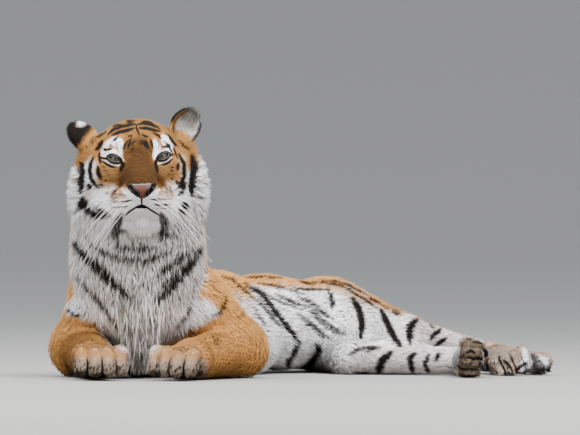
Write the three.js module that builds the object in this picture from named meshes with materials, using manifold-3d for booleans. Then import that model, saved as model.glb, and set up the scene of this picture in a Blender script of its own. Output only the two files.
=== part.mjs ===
// A Siberian tigress lying down: chest upright and head raised, forelegs stretched forward,
// the trunk rolling over so that the pelvis rests on its right side and both hind legs point right.
//
// Frame: millimetres, +Z up, the face looks along -Y, the animal's own left is +X.
// The animal lies on the plane Z = 0. Every size includes the winter coat.
//
// The body is an implicit surface: tapered limbs and ellipsoids that blend with each other. The
// blended whole is meshed once for each sub-part, and cut out of it by a sleeve around the limb or
// by planes across the trunk, so that neighbours meet face to face.

import * as THREE from 'three';
import { mergeVertices } from 'three/addons/utils/BufferGeometryUtils.js';
import Module from 'manifold-3d';

const wasm = await Module();
wasm.setup();
const { Manifold, Mesh: SolidMesh } = wasm;

const V = (x, y, z) => new THREE.Vector3(x, y, z);
const DEG = Math.PI / 180;

// ---- Driving dimensions -------------------------------------------------------------------------

const ORIGIN = V(33.5, 495.3, 0); // middle of the footprint, measured from under the breastbone
const SEAM = 0.6; // gap between neighbouring sub-parts
const HEAD_CELL = 24; // mesh size of the face
const CLEAN = 0.25; // edges shorter than this are closed up after a cut
const SLEEVE_SIDES = 14;
const SLAB = 1500;

// Head: its frame has the point midway between the eyes as origin.
const EYES = V(-355, -70, 520);
const HEAD_TURN = [4 * DEG, 3.5 * DEG, 3.5 * DEG]; // nose down, tilt, turn
const EYE_SPACING = 109;
const EYE_RADIUS = 18.5;
const EYE_PROUD = 5; // how far the eyeball stands out of the lids
const SKULL = { width: 196, length: 214, height: 156 };
const RUFF_WIDTH = 327;
const MUZZLE = { reach: 108, width: 138 };
const EAR = { width: 74, height: 92, depth: 26, wall: 8 };
const LEFT_EAR = { base: V(96, 84, 26), tip: V(134, 96, 94), opening: V(0.15, -1, 0.1) };
const RIGHT_EAR = { base: V(-100, 92, 20), tip: V(-143, 106, 70), opening: V(-0.75, 0.6, 0.1) };

// Trunk: an ellipsoid at each station. Half sizes across, along and up the animal; roll in degrees
// (0 upright, 90 on its right side); heading in degrees from +X, towards the tail.
const THORAX = { at: V(-335, 225, 179), half: [148, 205, 186], roll: 0, heading: 84 };
const RIBS = { at: V(-280, 395, 154), half: [130, 170, 150], roll: 30, heading: 68 };
const BELLY = { at: V(-168, 575, 119), half: [124, 178, 156], roll: 54, heading: 62 };
const LOIN = { at: V(-50, 765, 124), half: [117, 168, 149], roll: 74, heading: 60 };
const PELVIS = { at: V(62, 915, 115), half: [112, 150, 142], roll: 86, heading: 60 };
const RUMP = { at: V(165, 1000, 104), half: [98, 100, 98], roll: 0, heading: 90 };

// Limb joints; radii follow each joint.
const LEFT_ARM = {
  shoulder: V(-226, 165, 168), elbow: V(-122, 205, 70), wrist: V(-226, -40, 48), toes: V(-272, -168, 42),
};
const RIGHT_ARM = {
  shoulder: V(-436, 160, 176), elbow: V(-496, 205, 68), wrist: V(-455, -62, 48), toes: V(-434, -196, 42),
};
const ARM_RADII = { shoulder: 92, elbow: 68, wrist: 47, toes: 50 };
const FORE_TOE_GAP = 26; // between the middles of neighbouring toes
const LEFT_LEG = {
  hip: V(105, 928, 136), knee: V(284, 655, 92), hock: V(490, 850, 43), toes: V(548, 612, 30),
};
const RIGHT_LEG = {
  hip: V(120, 905, 84), knee: V(152, 628, 44), hock: V(430, 606, 34), toes: V(440, 352, 48),
};
const LEG_RADII = { hip: 92, knee: 57, hock: 33, toes: 40 };
const HIND_TOE_GAP = 20;
const TAIL = [
  [V(192, 1040, 84), 50], [V(262, 1150, 42), 38], [V(372, 1186, 32), 35], [V(474, 1112, 31), 34],
  [V(538, 965, 29), 30], [V(588, 815, 27), 27], [V(622, 705, 29), 29],
];

const COLOURS = {
  orange: 0xc08a52,
  pale: 0xd5cfc6,
  white: 0xe0dcd6,
  dark: 0x8a5c30,
  black: 0x1e1b1a,
  iris: 0x9aa06a,
};
const FUR_ROUGHNESS = 0.9;
const CORNEA_ROUGHNESS = 0.15;

// ---- Distances ----------------------------------------------------------------------------------

// Each shape is a function of (x, y, z) that gives the distance to its surface, negative inside.

// A limb between two joints, its radius changing evenly from one to the other.
function limb(a, b, ra, rb) {
  const d = b.clone().sub(a);
  const length2 = d.lengthSq();
  return (x, y, z) => {
    const [px, py, pz] = [x - a.x, y - a.y, z - a.z];
    const t = Math.min(1, Math.max(0, (px * d.x + py * d.y + pz * d.z) / length2));
    return Math.hypot(px - t * d.x, py - t * d.y, pz - t * d.z) - ra - t * (rb - ra);
  };
}

// An ellipsoid with the half sizes [across, along, up] along the columns of the matrix `axes`.
function egg(centre, [rx, ry, rz], axes) {
  const e = axes.elements;
  return (x, y, z) => {
    const [px, py, pz] = [x - centre.x, y - centre.y, z - centre.z];
    const u = (px * e[0] + py * e[1] + pz * e[2]) / rx;
    const v = (px * e[3] + py * e[4] + pz * e[5]) / ry;
    const w = (px * e[6] + py * e[7] + pz * e[8]) / rz;
    const k = Math.hypot(u, v, w);
    const slope = Math.hypot(u / rx, v / ry, w / rz);
    return slope < 1e-9 ? -Math.min(rx, ry, rz) : (k * (k - 1)) / slope;
  };
}

// The smaller of two distances, rounded over the width k where they are alike.
function blend(a, b, k) {
  const h = Math.max(0, k - Math.abs(a - b)) / k;
  return Math.min(a, b) - 0.25 * h * h * k;
}

// ---- Sub-parts ----------------------------------------------------------------------------------

// An ellipsoid of the trunk, rolled about its own length and then turned to its heading.
function station({ at, half, roll, heading }) {
  const lean = new THREE.Matrix4().makeRotationY(-roll * DEG);
  const turn = new THREE.Matrix4().makeRotationZ((heading - 90) * DEG);
  return egg(at, half, new THREE.Matrix3().setFromMatrix4(turn.multiply(lean)));
}

const [noseDown, sideTilt, headingTurn] = HEAD_TURN;
const headTurn = new THREE.Matrix4().makeRotationFromEuler(
  new THREE.Euler(noseDown, -sideTilt, headingTurn, 'ZYX'),
);
const turned = (v) => v.clone().applyMatrix4(headTurn);
const inHead = (x, y, z) => turned(V(x, y, z)).add(EYES);
const headAxes = new THREE.Matrix3().setFromMatrix4(headTurn);
const headEgg = (x, y, z, ...half) => egg(inHead(x, y, z), half, headAxes);
const bothSides = (x, y, z, ...half) => [headEgg(x, y, z, ...half), headEgg(-x, y, z, ...half)];

const head = [
  headEgg(0, 92, 8, SKULL.width / 2, SKULL.length / 2, SKULL.height / 2), // braincase
  headEgg(0, 34, 24, 82, 46, 48), // brow
  ...bothSides(60, 50, -36, 62, 62, 56), // cheekbones
  ...bothSides(RUFF_WIDTH / 2 - 64, 86, -82, 64, 58, 98), // ruff
  ...bothSides(96, 92, 6, 42, 44, 48), // fur below the ears
  ...bothSides(50, 26, -112, 56, 58, 52), // jaw
  limb(inHead(0, 22, -14), inHead(0, -68, -56), 48, 35), // bridge of the nose
  ...bothSides(MUZZLE.width / 2 - 39, 42 - MUZZLE.reach, -98, 39, 42, 36), // whisker pads
  headEgg(0, 18 - MUZZLE.reach, -73, 33, 20, 17), // nose
  headEgg(0, -46, -145, 43, 40, 30), // chin
];

const neck = [
  limb(V(-359, 62, 410), V(-360, 130, 285), 156, 164),
  limb(V(-357, 20, 360), V(-354, 40, 190), 122, 108), // throat and breast
];
const thorax = [station(THORAX), station(RIBS)];
const abdomen = [station(BELLY), station(LOIN)];
const pelvis = [station(PELVIS), station(RUMP)];

// A paw widens from the wrist to the knuckles, and four toes fan out from them. The outer toes
// end further back. `gap` lies between the middles of neighbouring toes, along `across`.
function paw(wrist, toes, radius, gap, across) {
  const ahead = toes.clone().sub(wrist).normalize();
  const side = across.clone().normalize();
  const knuckles = toes.clone().addScaledVector(ahead, -radius * 0.9);
  const shapes = [limb(wrist, knuckles, radius * 0.95, radius * 1.02)];
  for (const step of [-1.5, -0.5, 0.5, 1.5]) {
    const back = Math.abs(step) > 1 ? 0.28 * radius : 0;
    const tip = toes.clone().addScaledVector(side, step * gap).addScaledVector(ahead, -back);
    const root = knuckles.clone().addScaledVector(side, step * gap * 0.72);
    shapes.push(limb(root, tip, radius * 0.72, radius * 0.6));
  }
  return shapes;
}

function foreleg(j, side) {
  const r = ARM_RADII;
  return {
    upper: [limb(j.shoulder, j.elbow, r.shoulder, r.elbow)],
    lower: [limb(j.elbow, j.wrist, r.elbow * 0.98, r.wrist)],
    paw: paw(j.wrist, j.toes, r.toes, FORE_TOE_GAP, side),
  };
}

// A hind leg stands on its whole foot, so the paw starts half way from the hock to the toes.
function hindLeg(j, side, calf) {
  const r = LEG_RADII;
  return {
    upper: [limb(j.hip, j.knee, r.hip, r.knee)],
    lower: [limb(j.knee, j.hock, r.knee * calf, r.hock)],
    paw: [
      limb(j.hock, j.hock.clone().lerp(j.toes, 0.6), r.hock, r.toes * 0.82),
      ...paw(j.hock.clone().lerp(j.toes, 0.45), j.toes, r.toes, HIND_TOE_GAP, side),
    ],
  };
}

const armLeft = foreleg(LEFT_ARM, V(0.93, -0.37, 0));
const armRight = foreleg(RIGHT_ARM, V(0.99, 0.15, 0));
const legLeft = hindLeg(LEFT_LEG, V(0.9, 0.2, 0.35), 0.92);
const legRight = hindLeg(RIGHT_LEG, V(0.1, 0, 1), 0.74);
const tail = TAIL.slice(1).map(([p, r], i) => limb(TAIL[i][0], p, TAIL[i][1], r));

// Shapes, how widely they blend with each other, and how widely with all that comes before them.
const FLESH = [
  [thorax, 60, 60], [abdomen, 60, 70], [pelvis, 50, 70], [neck, 60, 44], [head, 24, 34],
  [armLeft.upper, 10, 36], [armRight.upper, 10, 40], [armLeft.lower, 10, 36], [armRight.lower, 10, 36],
  [armLeft.paw, 12, 16], [armRight.paw, 12, 16],
  [legRight.upper, 10, 46], [legRight.lower, 10, 14], [legRight.paw, 10, 12],
  [legLeft.upper, 10, 46], [legLeft.lower, 10, 12], [legLeft.paw, 10, 12],
  [tail, 16, 30],
];

const FAR_AWAY = 1e4;
const gather = (shapes, width, x, y, z) =>
  shapes.reduce((d, shape) => blend(d, shape(x, y, z), width), FAR_AWAY);
const whole = (x, y, z) =>
  FLESH.reduce((d, [shapes, inner, outer]) => blend(d, gather(shapes, inner, x, y, z), outer), FAR_AWAY);

// ---- Envelopes that divide the body -------------------------------------------------------------

// An envelope is a function of how far it is grown, so that a neighbour keeps clear of it.

// A round sleeve from a to b, with a radius at each end, `before` and `after` longer than they are.
function sleeve(a, b, ra, rb, before, after) {
  const ahead = b.clone().sub(a).normalize();
  const turn = new THREE.Quaternion().setFromUnitVectors(V(0, 1, 0), ahead);
  return (grow) => {
    const length = a.distanceTo(b) + before + after + 2 * grow;
    const start = a.clone().addScaledVector(ahead, -before - grow);
    return new THREE.CylinderGeometry(rb + grow, ra + grow, length, SLEEVE_SIDES)
      .translate(0, length / 2, 0)
      .applyQuaternion(turn)
      .translate(...start.toArray());
  };
}

// Everything on the far side of a plane through `point`, as a slab far larger than the animal.
function beyond(point, normal) {
  const ahead = normal.clone().normalize();
  const turn = new THREE.Quaternion().setFromUnitVectors(V(0, 0, 1), ahead);
  return (grow) => {
    const start = point.clone().addScaledVector(ahead, -grow);
    return new THREE.BoxGeometry(2 * SLAB, 2 * SLAB, SLAB)
      .translate(0, 0, SLAB / 2)
      .applyQuaternion(turn)
      .translate(...start.toArray());
  };
}

const heading = (degrees) => V(Math.cos(degrees * DEG), Math.sin(degrees * DEG), 0);

// The sleeve of the tail from one of its points to the next.
function tailSleeve(from, after) {
  const [[a, ra], [b, rb]] = [TAIL[from], TAIL[from + 1]];
  return sleeve(a, b, ra + 30, rb + 30, 0, after);
}

// In cutting order: name, envelope, mesh size, colour. The last one takes what is left.
const PARTS = [
  ['head', beyond(V(-356, 30, 404), V(0, -0.42, 0.91)), HEAD_CELL, 'orange'],
  ['forepaw_left', sleeve(LEFT_ARM.wrist, LEFT_ARM.toes, 85, 85, 0, 70), 24, 'orange'],
  ['forepaw_right', sleeve(RIGHT_ARM.wrist, RIGHT_ARM.toes, 85, 85, 0, 70), 24, 'orange'],
  ['hind_foot_right', sleeve(RIGHT_LEG.hock, RIGHT_LEG.toes, 62, 75, 60, 60), 26, 'dark'],
  ['hind_foot_left', sleeve(LEFT_LEG.hock, LEFT_LEG.toes, 50, 70, 50, 60), 26, 'pale'],
  ['tail_tip', tailSleeve(5, 60), 36, 'white'],
  ['tail_far', tailSleeve(4, 40), 36, 'pale'],
  ['tail_middle', tailSleeve(3, 40), 36, 'pale'],
  ['tail_near', tailSleeve(2, 40), 36, 'orange'],
  ['tail_base', tailSleeve(1, 40), 36, 'orange'],
  ['forearm_left', sleeve(LEFT_ARM.elbow, LEFT_ARM.wrist, 92, 76, 0, 20), 40, 'dark'],
  ['forearm_right', sleeve(RIGHT_ARM.elbow, RIGHT_ARM.wrist, 92, 76, 0, 20), 40, 'dark'],
  ['shank_right', sleeve(RIGHT_LEG.knee, RIGHT_LEG.hock, 80, 60, 0, 60), 36, 'white'],
  ['shank_left', sleeve(LEFT_LEG.knee, LEFT_LEG.hock, 74, 52, 0, 50), 36, 'white'],
  ['upper_arm_left', sleeve(LEFT_ARM.shoulder, LEFT_ARM.elbow, 118, 100, -20, 100), 50, 'orange'],
  ['upper_arm_right', sleeve(RIGHT_ARM.shoulder, RIGHT_ARM.elbow, 118, 100, -20, 100), 50, 'orange'],
  ['thigh_left', sleeve(LEFT_LEG.hip, LEFT_LEG.knee, 112, 90, -40, 90), 50, 'white'],
  ['thigh_right', sleeve(RIGHT_LEG.hip, RIGHT_LEG.knee, 112, 100, -60, 100), 50, 'white'],
  ['neck', beyond(V(-352, 120, 292), V(0, -0.34, 0.94)), 60, 'pale'],
  ['pelvis', beyond(V(-5, 838, 0), heading(62)), 60, 'orange'],
  ['abdomen', beyond(V(-215, 485, 0), heading(66)), 60, 'white'],
  ['thorax', beyond(V(0, -500, 0), V(0, 1, 0)), 60, 'pale'],
];

// ---- Meshing ------------------------------------------------------------------------------------

// Corner numbers of a cell: bit 0 is +X, bit 1 is +Y, bit 2 is +Z.
const CORNERS = [0, 1, 2, 3, 4, 5, 6, 7];
const AXES = [0, 1, 2];

// The inside corners of a cell that are joined to `corner` along its edges.
function joined(inside, corner) {
  const group = new Set([corner]);
  for (const c of group) {
    for (const axis of AXES) if (inside[c ^ (1 << axis)]) group.add(c ^ (1 << axis));
  }
  return group;
}

// Surface of field = 0 inside a box: a vertex in each grid cell for every group of inside corners,
// and a quadrilateral around each grid edge that the surface crosses.
function surfaceGeometry(field, box, cell) {
  const low = [box.min.x, box.min.y, box.min.z].map((v) => Math.floor(v / cell) - 1);
  const high = [box.max.x, box.max.y, box.max.z].map((v) => Math.ceil(v / cell) + 1);
  const count = high.map((v, i) => v - low[i] + 1);
  const stride = [1, count[0], count[0] * count[1]];
  const offset = CORNERS.map((c) => (c & 1) + ((c >> 1) & 1) * stride[1] + (c >> 2) * stride[2]);
  const value = new Float64Array(count[0] * count[1] * count[2]);
  for (let k = 0, n = 0; k < count[2]; k++) {
    for (let j = 0; j < count[1]; j++) {
      for (let i = 0; i < count[0]; i++, n++) {
        const rim = !i || !j || !k || i === count[0] - 1 || j === count[1] - 1 || k === count[2] - 1;
        value[n] = rim ? cell : field((low[0] + i) * cell, (low[1] + j) * cell, (low[2] + k) * cell);
      }
    }
  }
  const position = [];
  const made = new Map();
  const vertex = (n, corner) => {
    const inside = offset.map((o) => value[n + o] < 0);
    const group = joined(inside, corner);
    const key = n * 8 + Math.min(...group);
    if (made.has(key)) return made.get(key);
    const sum = [0, 0, 0];
    let crossings = 0;
    for (const c of group) {
      for (const axis of AXES) {
        const other = c ^ (1 << axis);
        if (inside[other]) continue;
        const [u, v] = [value[n + offset[c]], value[n + offset[other]]];
        for (const a of AXES) {
          const [from, to] = [(c >> a) & 1, (other >> a) & 1];
          sum[a] += from + ((to - from) * u) / (u - v);
        }
        crossings++;
      }
    }
    const at = [n % stride[1], Math.floor((n % stride[2]) / stride[1]), Math.floor(n / stride[2])];
    const p = at.map((v, a) => (low[a] + v + sum[a] / crossings) * cell);
    settleOn(field, p, cell);
    made.set(key, position.length / 3);
    position.push(...p);
    return made.get(key);
  };
  const index = [];
  for (let n = 0; n < value.length; n++) {
    for (const axis of AXES) {
      const far = n + stride[axis];
      if (far >= value.length || value[n] < 0 === value[far] < 0) continue;
      const [b, c] = [(axis + 1) % 3, (axis + 2) % 3];
      const end = value[n] < 0 ? 0 : 1 << axis; // the end of the edge that lies inside
      const ring = [[0, 0], [1, 0], [1, 1], [0, 1]].map(([u, v]) =>
        vertex(n - u * stride[b] - v * stride[c], end | (u << b) | (v << c)));
      if (end) ring.reverse();
      index.push(ring[0], ring[1], ring[2], ring[0], ring[2], ring[3]);
    }
  }
  const geometry = new THREE.BufferGeometry();
  geometry.setAttribute('position', new THREE.Float32BufferAttribute(position, 3));
  geometry.setIndex(index);
  return geometry;
}

// Moves a mesh point along the slope of the field until it lies on the surface.
function settleOn(field, p, cell) {
  const d = 0.5;
  const start = [...p];
  for (let step = 0; step < 3; step++) {
    const f = field(...p);
    const slope = [0, 1, 2].map((a) => {
      const q = [...p];
      q[a] += d;
      return (field(...q) - f) / d;
    });
    const length2 = slope.reduce((s, v) => s + v * v, 0);
    if (length2 < 0.05) return;
    for (let a = 0; a < 3; a++) {
      const limit = 0.45 * cell;
      p[a] = Math.min(start[a] + limit, Math.max(start[a] - limit, p[a] - (f * slope[a]) / length2));
    }
  }
}

// A closed mesh as a solid: its corners are shared once the normals and the uv map are gone.
function solid(geometry) {
  geometry.deleteAttribute('normal');
  geometry.deleteAttribute('uv');
  const bare = mergeVertices(geometry, 1e-3);
  return new Manifold(new SolidMesh({
    numProp: 3,
    vertProperties: new Float32Array(bare.attributes.position.array),
    triVerts: new Uint32Array(bare.index.array),
  }));
}

function geometryOf(body) {
  const mesh = body.getMesh();
  const geometry = new THREE.BufferGeometry();
  geometry.setAttribute('position', new THREE.BufferAttribute(new Float32Array(mesh.vertProperties), 3));
  geometry.setIndex(new THREE.BufferAttribute(new Uint32Array(mesh.triVerts), 1));
  geometry.computeVertexNormals();
  return geometry;
}

const largest = (body) => body.simplify(CLEAN).decompose().sort((a, b) => b.volume() - a.volume())[0];

// ---- Assembly -----------------------------------------------------------------------------------

const BODY = new THREE.Box3(V(-700, -400, -30), V(800, 1350, 720)); // room for the whole animal
const aboveGround = beyond(V(0, 0, 0), V(0, 0, 1))(0);

// The eyeball sits in the brow so that its front stands a little out of the lids.
function eyeCentre(side) {
  const p = inHead((side * EYE_SPACING) / 2, -60, 0);
  const back = turned(V(0, 1, 0));
  for (let step = 0; step < 60 && whole(p.x, p.y, p.z) > 0; step++) {
    p.addScaledVector(back, Math.max(0.3, whole(p.x, p.y, p.z) * 0.5));
  }
  return p.addScaledVector(back, EYE_RADIUS - EYE_PROUD);
}

const eyes = [{ name: 'eye_left', at: eyeCentre(1) }, { name: 'eye_right', at: eyeCentre(-1) }];
const ball = (centre, radius) =>
  solid(new THREE.SphereGeometry(radius, 12, 8).translate(...centre.toArray()));

// An ear is a cup: an upright oval with its front scooped out, standing on the grown head.
function ear({ base, tip, opening }, grownHead) {
  const up = turned(tip.clone().sub(base)).normalize();
  const front = turned(opening);
  const out = front.addScaledVector(up, -front.dot(up)).normalize();
  const frame = new THREE.Matrix4().makeBasis(out.clone().cross(up), out, up);
  const middle = inHead(...base.clone().lerp(tip, 0.5).toArray());
  const oval = (half, forward) => solid(new THREE.SphereGeometry(1, 12, 8)
    .scale(...half)
    .translate(0, forward, 0)
    .applyMatrix4(frame)
    .translate(...middle.toArray()));
  const [across, deep, tall] = [EAR.width / 2, EAR.depth, EAR.height / 2];
  return oval([across, deep, tall], 0)
    .subtract(oval([across - EAR.wall, deep, tall - EAR.wall], EAR.wall * 1.3))
    .subtract(grownHead);
}

const tiger = new THREE.Group();
tiger.name = 'siberian_tiger';

function place(name, body, colour, roughness = FUR_ROUGHNESS) {
  const geometry = geometryOf(body);
  geometry.computeBoundingBox();
  const middle = geometry.boundingBox.getCenter(V(0, 0, 0)).round();
  geometry.translate(-middle.x, -middle.y, -middle.z);
  const material = new THREE.MeshStandardMaterial({ color: COLOURS[colour], roughness, metalness: 0 });
  const mesh = new THREE.Mesh(geometry, material);
  mesh.name = name;
  mesh.position.copy(middle).sub(ORIGIN);
  tiger.add(mesh);
}

const taken = [];
for (const [name, envelope, cell, colour] of PARTS) {
  const own = envelope(0);
  own.computeBoundingBox();
  const room = own.boundingBox.clone().expandByScalar(cell).intersect(BODY);
  let body = solid(surfaceGeometry(whole, room, cell)).intersect(solid(own)).intersect(solid(aboveGround));
  for (const earlier of taken) body = body.subtract(earlier);
  taken.push(solid(envelope(SEAM)));
  if (name === 'head') {
    for (const eye of eyes) body = body.subtract(ball(eye.at, EYE_RADIUS + SEAM));
  }
  place(name, largest(body), colour);
}

const headRoom = new THREE.Box3(inHead(-240, -60, -60), inHead(240, 240, 200));
const grownHead = solid(surfaceGeometry((x, y, z) => whole(x, y, z) - 2 * SEAM, headRoom, HEAD_CELL));
place('ear_left', largest(ear(LEFT_EAR, grownHead)), 'white');
place('ear_right', largest(ear(RIGHT_EAR, grownHead)), 'black');
for (const eye of eyes) place(eye.name, ball(eye.at, EYE_RADIUS), 'iris', CORNEA_ROUGHNESS);

export default tiger;
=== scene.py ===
"""A Siberian tigress lying down with her head raised, as a life-size still model.

The skin is an implicit surface: the limbs and ellipsoids of the flesh, blended with each other as in the
CAD solids, and drawn in by the depth of the coat. The coat stands on it as short tapered locks of hair.
Skin and coat take their markings from the same functions of place.
"""

import math
from collections import namedtuple

import bpy
import numpy as np
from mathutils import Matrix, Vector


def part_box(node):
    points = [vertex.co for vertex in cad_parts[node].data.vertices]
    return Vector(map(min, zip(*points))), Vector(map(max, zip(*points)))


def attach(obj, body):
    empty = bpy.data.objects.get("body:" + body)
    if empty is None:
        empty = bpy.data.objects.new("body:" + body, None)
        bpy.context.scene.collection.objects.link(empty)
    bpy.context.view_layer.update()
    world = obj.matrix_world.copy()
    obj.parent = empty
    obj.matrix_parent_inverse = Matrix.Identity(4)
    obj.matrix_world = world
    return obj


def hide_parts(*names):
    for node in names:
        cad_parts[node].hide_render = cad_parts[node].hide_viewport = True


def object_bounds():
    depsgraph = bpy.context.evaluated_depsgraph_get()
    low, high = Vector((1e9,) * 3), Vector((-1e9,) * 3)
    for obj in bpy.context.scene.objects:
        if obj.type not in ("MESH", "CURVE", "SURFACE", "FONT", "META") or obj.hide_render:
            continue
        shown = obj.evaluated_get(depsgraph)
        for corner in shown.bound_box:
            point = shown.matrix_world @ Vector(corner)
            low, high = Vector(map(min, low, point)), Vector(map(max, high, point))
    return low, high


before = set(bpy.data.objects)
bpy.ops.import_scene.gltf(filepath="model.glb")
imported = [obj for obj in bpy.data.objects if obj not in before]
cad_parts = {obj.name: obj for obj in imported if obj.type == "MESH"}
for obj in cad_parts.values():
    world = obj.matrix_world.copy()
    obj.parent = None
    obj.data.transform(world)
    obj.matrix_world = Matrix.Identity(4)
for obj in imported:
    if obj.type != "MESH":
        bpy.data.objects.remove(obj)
cad_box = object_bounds()

MM = 0.001
ORIGIN = np.array((33.5, 495.3, 0.0))  # the CAD frame's origin, in mm from under the breastbone
rng = np.random.default_rng(7)


def at(x, y, z):
    """A place given in millimetres from under the breastbone, in the CAD frame's metres."""
    return (np.array((x, y, z), float) - ORIGIN) * MM


def unit(v):
    """Vectors of length one, along the last axis."""
    return v / np.maximum(np.linalg.norm(v, axis=-1, keepdims=True), 1e-12)


def smooth(low, high, x):
    """0 below low and 1 above high, with an even S-shaped rise between them."""
    t = np.clip((x - low) / (high - low), 0, 1)
    return t * t * (3 - 2 * t)


def ripple(p, size, seed=0):
    """Smooth unevenness from -1 to 1: seven sine waves, about `size` metres long, in directions that the seed
    sets, added up, halved in strength and clipped."""
    waves = np.random.default_rng(seed)
    total = np.zeros(len(p))
    for _ in range(7):
        along = unit(waves.normal(size=3)) * 2 * np.pi / (size * waves.uniform(0.6, 1.5))
        total += np.sin(p @ along + waves.uniform(0, 6.28))
    return np.clip(total / 3.5, -1, 1)


def turn_about(axis, degrees):
    """The matrix of a right-handed turn about one of the three axes."""
    c, s = math.cos(math.radians(degrees)), math.sin(math.radians(degrees))
    m = np.eye(3)
    i, j = [(1, 2), (2, 0), (0, 1)]["xyz".index(axis)]
    m[i, i] = m[j, j] = c
    m[j, i], m[i, j] = s, -s
    return m


# ---- Flesh: limbs and ellipsoids ----------------------------------------------------------------

# distance: function of points; lie: which way the hair points; depth: of the coat, in metres;
# pale: a direction and an offset, white where the surface faces that way.
Shape = namedtuple("Shape", "distance lie depth pale")
Group = namedtuple("Group", "name shapes inner outer")


def limb(a, b, ra, rb, depth, pale=(0, 0, 0, -1)):
    """Distance to a limb from a to b, its radius changing evenly; the hair lies from a to b."""
    d = b - a
    ra, rb = ra * MM, rb * MM

    def distance(p):
        q = p - a
        t = np.clip(q @ d / (d @ d), 0, 1)
        q = q - t[:, None] * d
        return np.sqrt(np.einsum("ij,ij->i", q, q)) - ra - t * (rb - ra)

    return Shape(distance, unit(d), depth * MM, np.array(pale, float))


def egg(centre, half, axes, lie, depth, pale=(0, 0, 0, -1)):
    """Distance to an ellipsoid: k (k - 1) / |grad k|, where k is 1 on the surface."""
    inverse = axes / (np.array(half) * MM)

    def distance(p):
        u = (p - centre) @ inverse
        k = np.sqrt(np.einsum("ij,ij->i", u, u)) + 1e-9
        u = u / (np.array(half) * MM)
        return k * (k - 1) / (np.sqrt(np.einsum("ij,ij->i", u, u)) + 1e-9)

    return Shape(distance, unit(np.array(lie, float)), depth * MM, np.array(pale, float))


def blend(a, b, k):
    """The smaller of two distances, rounded over the width k where they are alike."""
    h = np.maximum(0, k - np.abs(a - b)) / k
    return np.minimum(a, b) - 0.25 * h * h * k


def station(place, half, roll, heading, depth, offset=-0.1):
    """An ellipsoid of the trunk, rolled about its length and turned; white on its belly side."""
    axes = turn_about("z", heading - 90) @ turn_about("y", -roll)
    along = np.array((math.cos(math.radians(heading)), math.sin(math.radians(heading)), -0.25))
    belly = -axes[:, 2]
    return egg(at(*place), half, axes, along, depth, (*belly, offset))


# Head: its frame has the point midway between the eyes as origin, x to the animal's left, y back.
EYES = at(-355, -70, 520)
HEAD = turn_about("z", 3.5) @ turn_about("y", -3.5) @ turn_about("x", 4)
MUZZLE_REACH = 108
EYE_RADIUS = 18.5 * MM


def in_head(x, y, z):
    """A place in millimetres in the head's own frame, in the CAD frame's metres."""
    return EYES + HEAD @ np.array((x, y, z), float) * MM


def head_place(p):
    """Places in millimetres in the head's own frame."""
    return (p - EYES) @ HEAD / MM


def head_egg(x, y, z, half, depth):
    """An ellipsoid of the head, square to the head's frame. Its hair lies away from the nose, not one way."""
    return egg(in_head(x, y, z), half, HEAD, (0, 0, 0), depth)


def both(x, y, z, half, depth):
    """The same ellipsoid on either side of the head."""
    return [head_egg(x, y, z, half, depth), head_egg(-x, y, z, half, depth)]


def paw(wrist, toes, radius, gap, across, depth, pale, rise):
    """A paw widens from the wrist to the knuckles, and four toes fan out from them, each bent once at its
    knuckle. They are narrower than the gap between them, so that a fold shows between two neighbours."""
    ahead, side = unit(toes - wrist), unit(np.array(across, float))
    above = unit(np.cross(side, ahead))
    above = above * np.sign(above @ np.array(rise, float))
    palm = toes - ahead * radius * 0.9 * MM
    shapes = [limb(wrist, palm, radius * 0.95, radius * 0.8, depth, pale)]
    for step in (-1.5, -0.5, 0.5, 1.5):
        back = 0.26 * radius if abs(step) > 1 else 0
        place = toes + (side * step * gap * 1.12 - ahead * back) * MM
        root = palm + (side * step * gap * 0.8 + above * 0.2 * radius) * MM
        knuckle = place + (above * 0.36 - ahead * 0.28) * radius * MM
        tip = place + (ahead * 0.12 - above * 0.26) * radius * MM
        shapes.append(limb(root, knuckle, gap * 0.82, gap * 0.8, depth, pale))
        shapes.append(limb(knuckle, tip, gap * 0.8, gap * 0.76, depth, pale))
    return shapes


LEFT_ARM = [at(-226, 165, 168), at(-122, 205, 70), at(-226, -40, 48), at(-272, -168, 42)]
RIGHT_ARM = [at(-436, 160, 176), at(-496, 205, 68), at(-455, -62, 48), at(-434, -196, 42)]
ARM_RADII = (92, 68, 47, 50)
LEFT_LEG = [at(105, 928, 136), at(284, 655, 92), at(490, 850, 43), at(548, 612, 30)]
RIGHT_LEG = [at(120, 905, 84), at(152, 628, 44), at(430, 606, 34), at(440, 352, 48)]
LEG_RADII = (92, 57, 33, 40)
TAIL = [(at(192, 1040, 84), 50), (at(262, 1150, 42), 38), (at(372, 1186, 32), 35), (at(474, 1112, 31), 34),
        (at(538, 965, 29), 30), (at(588, 815, 27), 27), (at(622, 705, 29), 29)]


def foreleg(name, joints, inward, across, blend_with):
    """Upper arm, forearm and paw, white on the side that faces `inward`; the toes stand in a row `across`."""
    shoulder, elbow, wrist, toes = joints
    r = ARM_RADII
    pale = (*inward, -0.55)
    return [
        Group(name + "_upper", [limb(shoulder, elbow, r[0], r[1], 12, pale)], 10, blend_with),
        Group(name + "_lower", [limb(elbow, wrist, r[1] * 0.98, r[2], 9, pale)], 10, 36),
        Group(name + "_paw", paw(wrist, toes, r[3], 26, across, 5, (0, -0.3, 0, 0.0), (0, 0, 1)), 6, 16),
    ]


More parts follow.
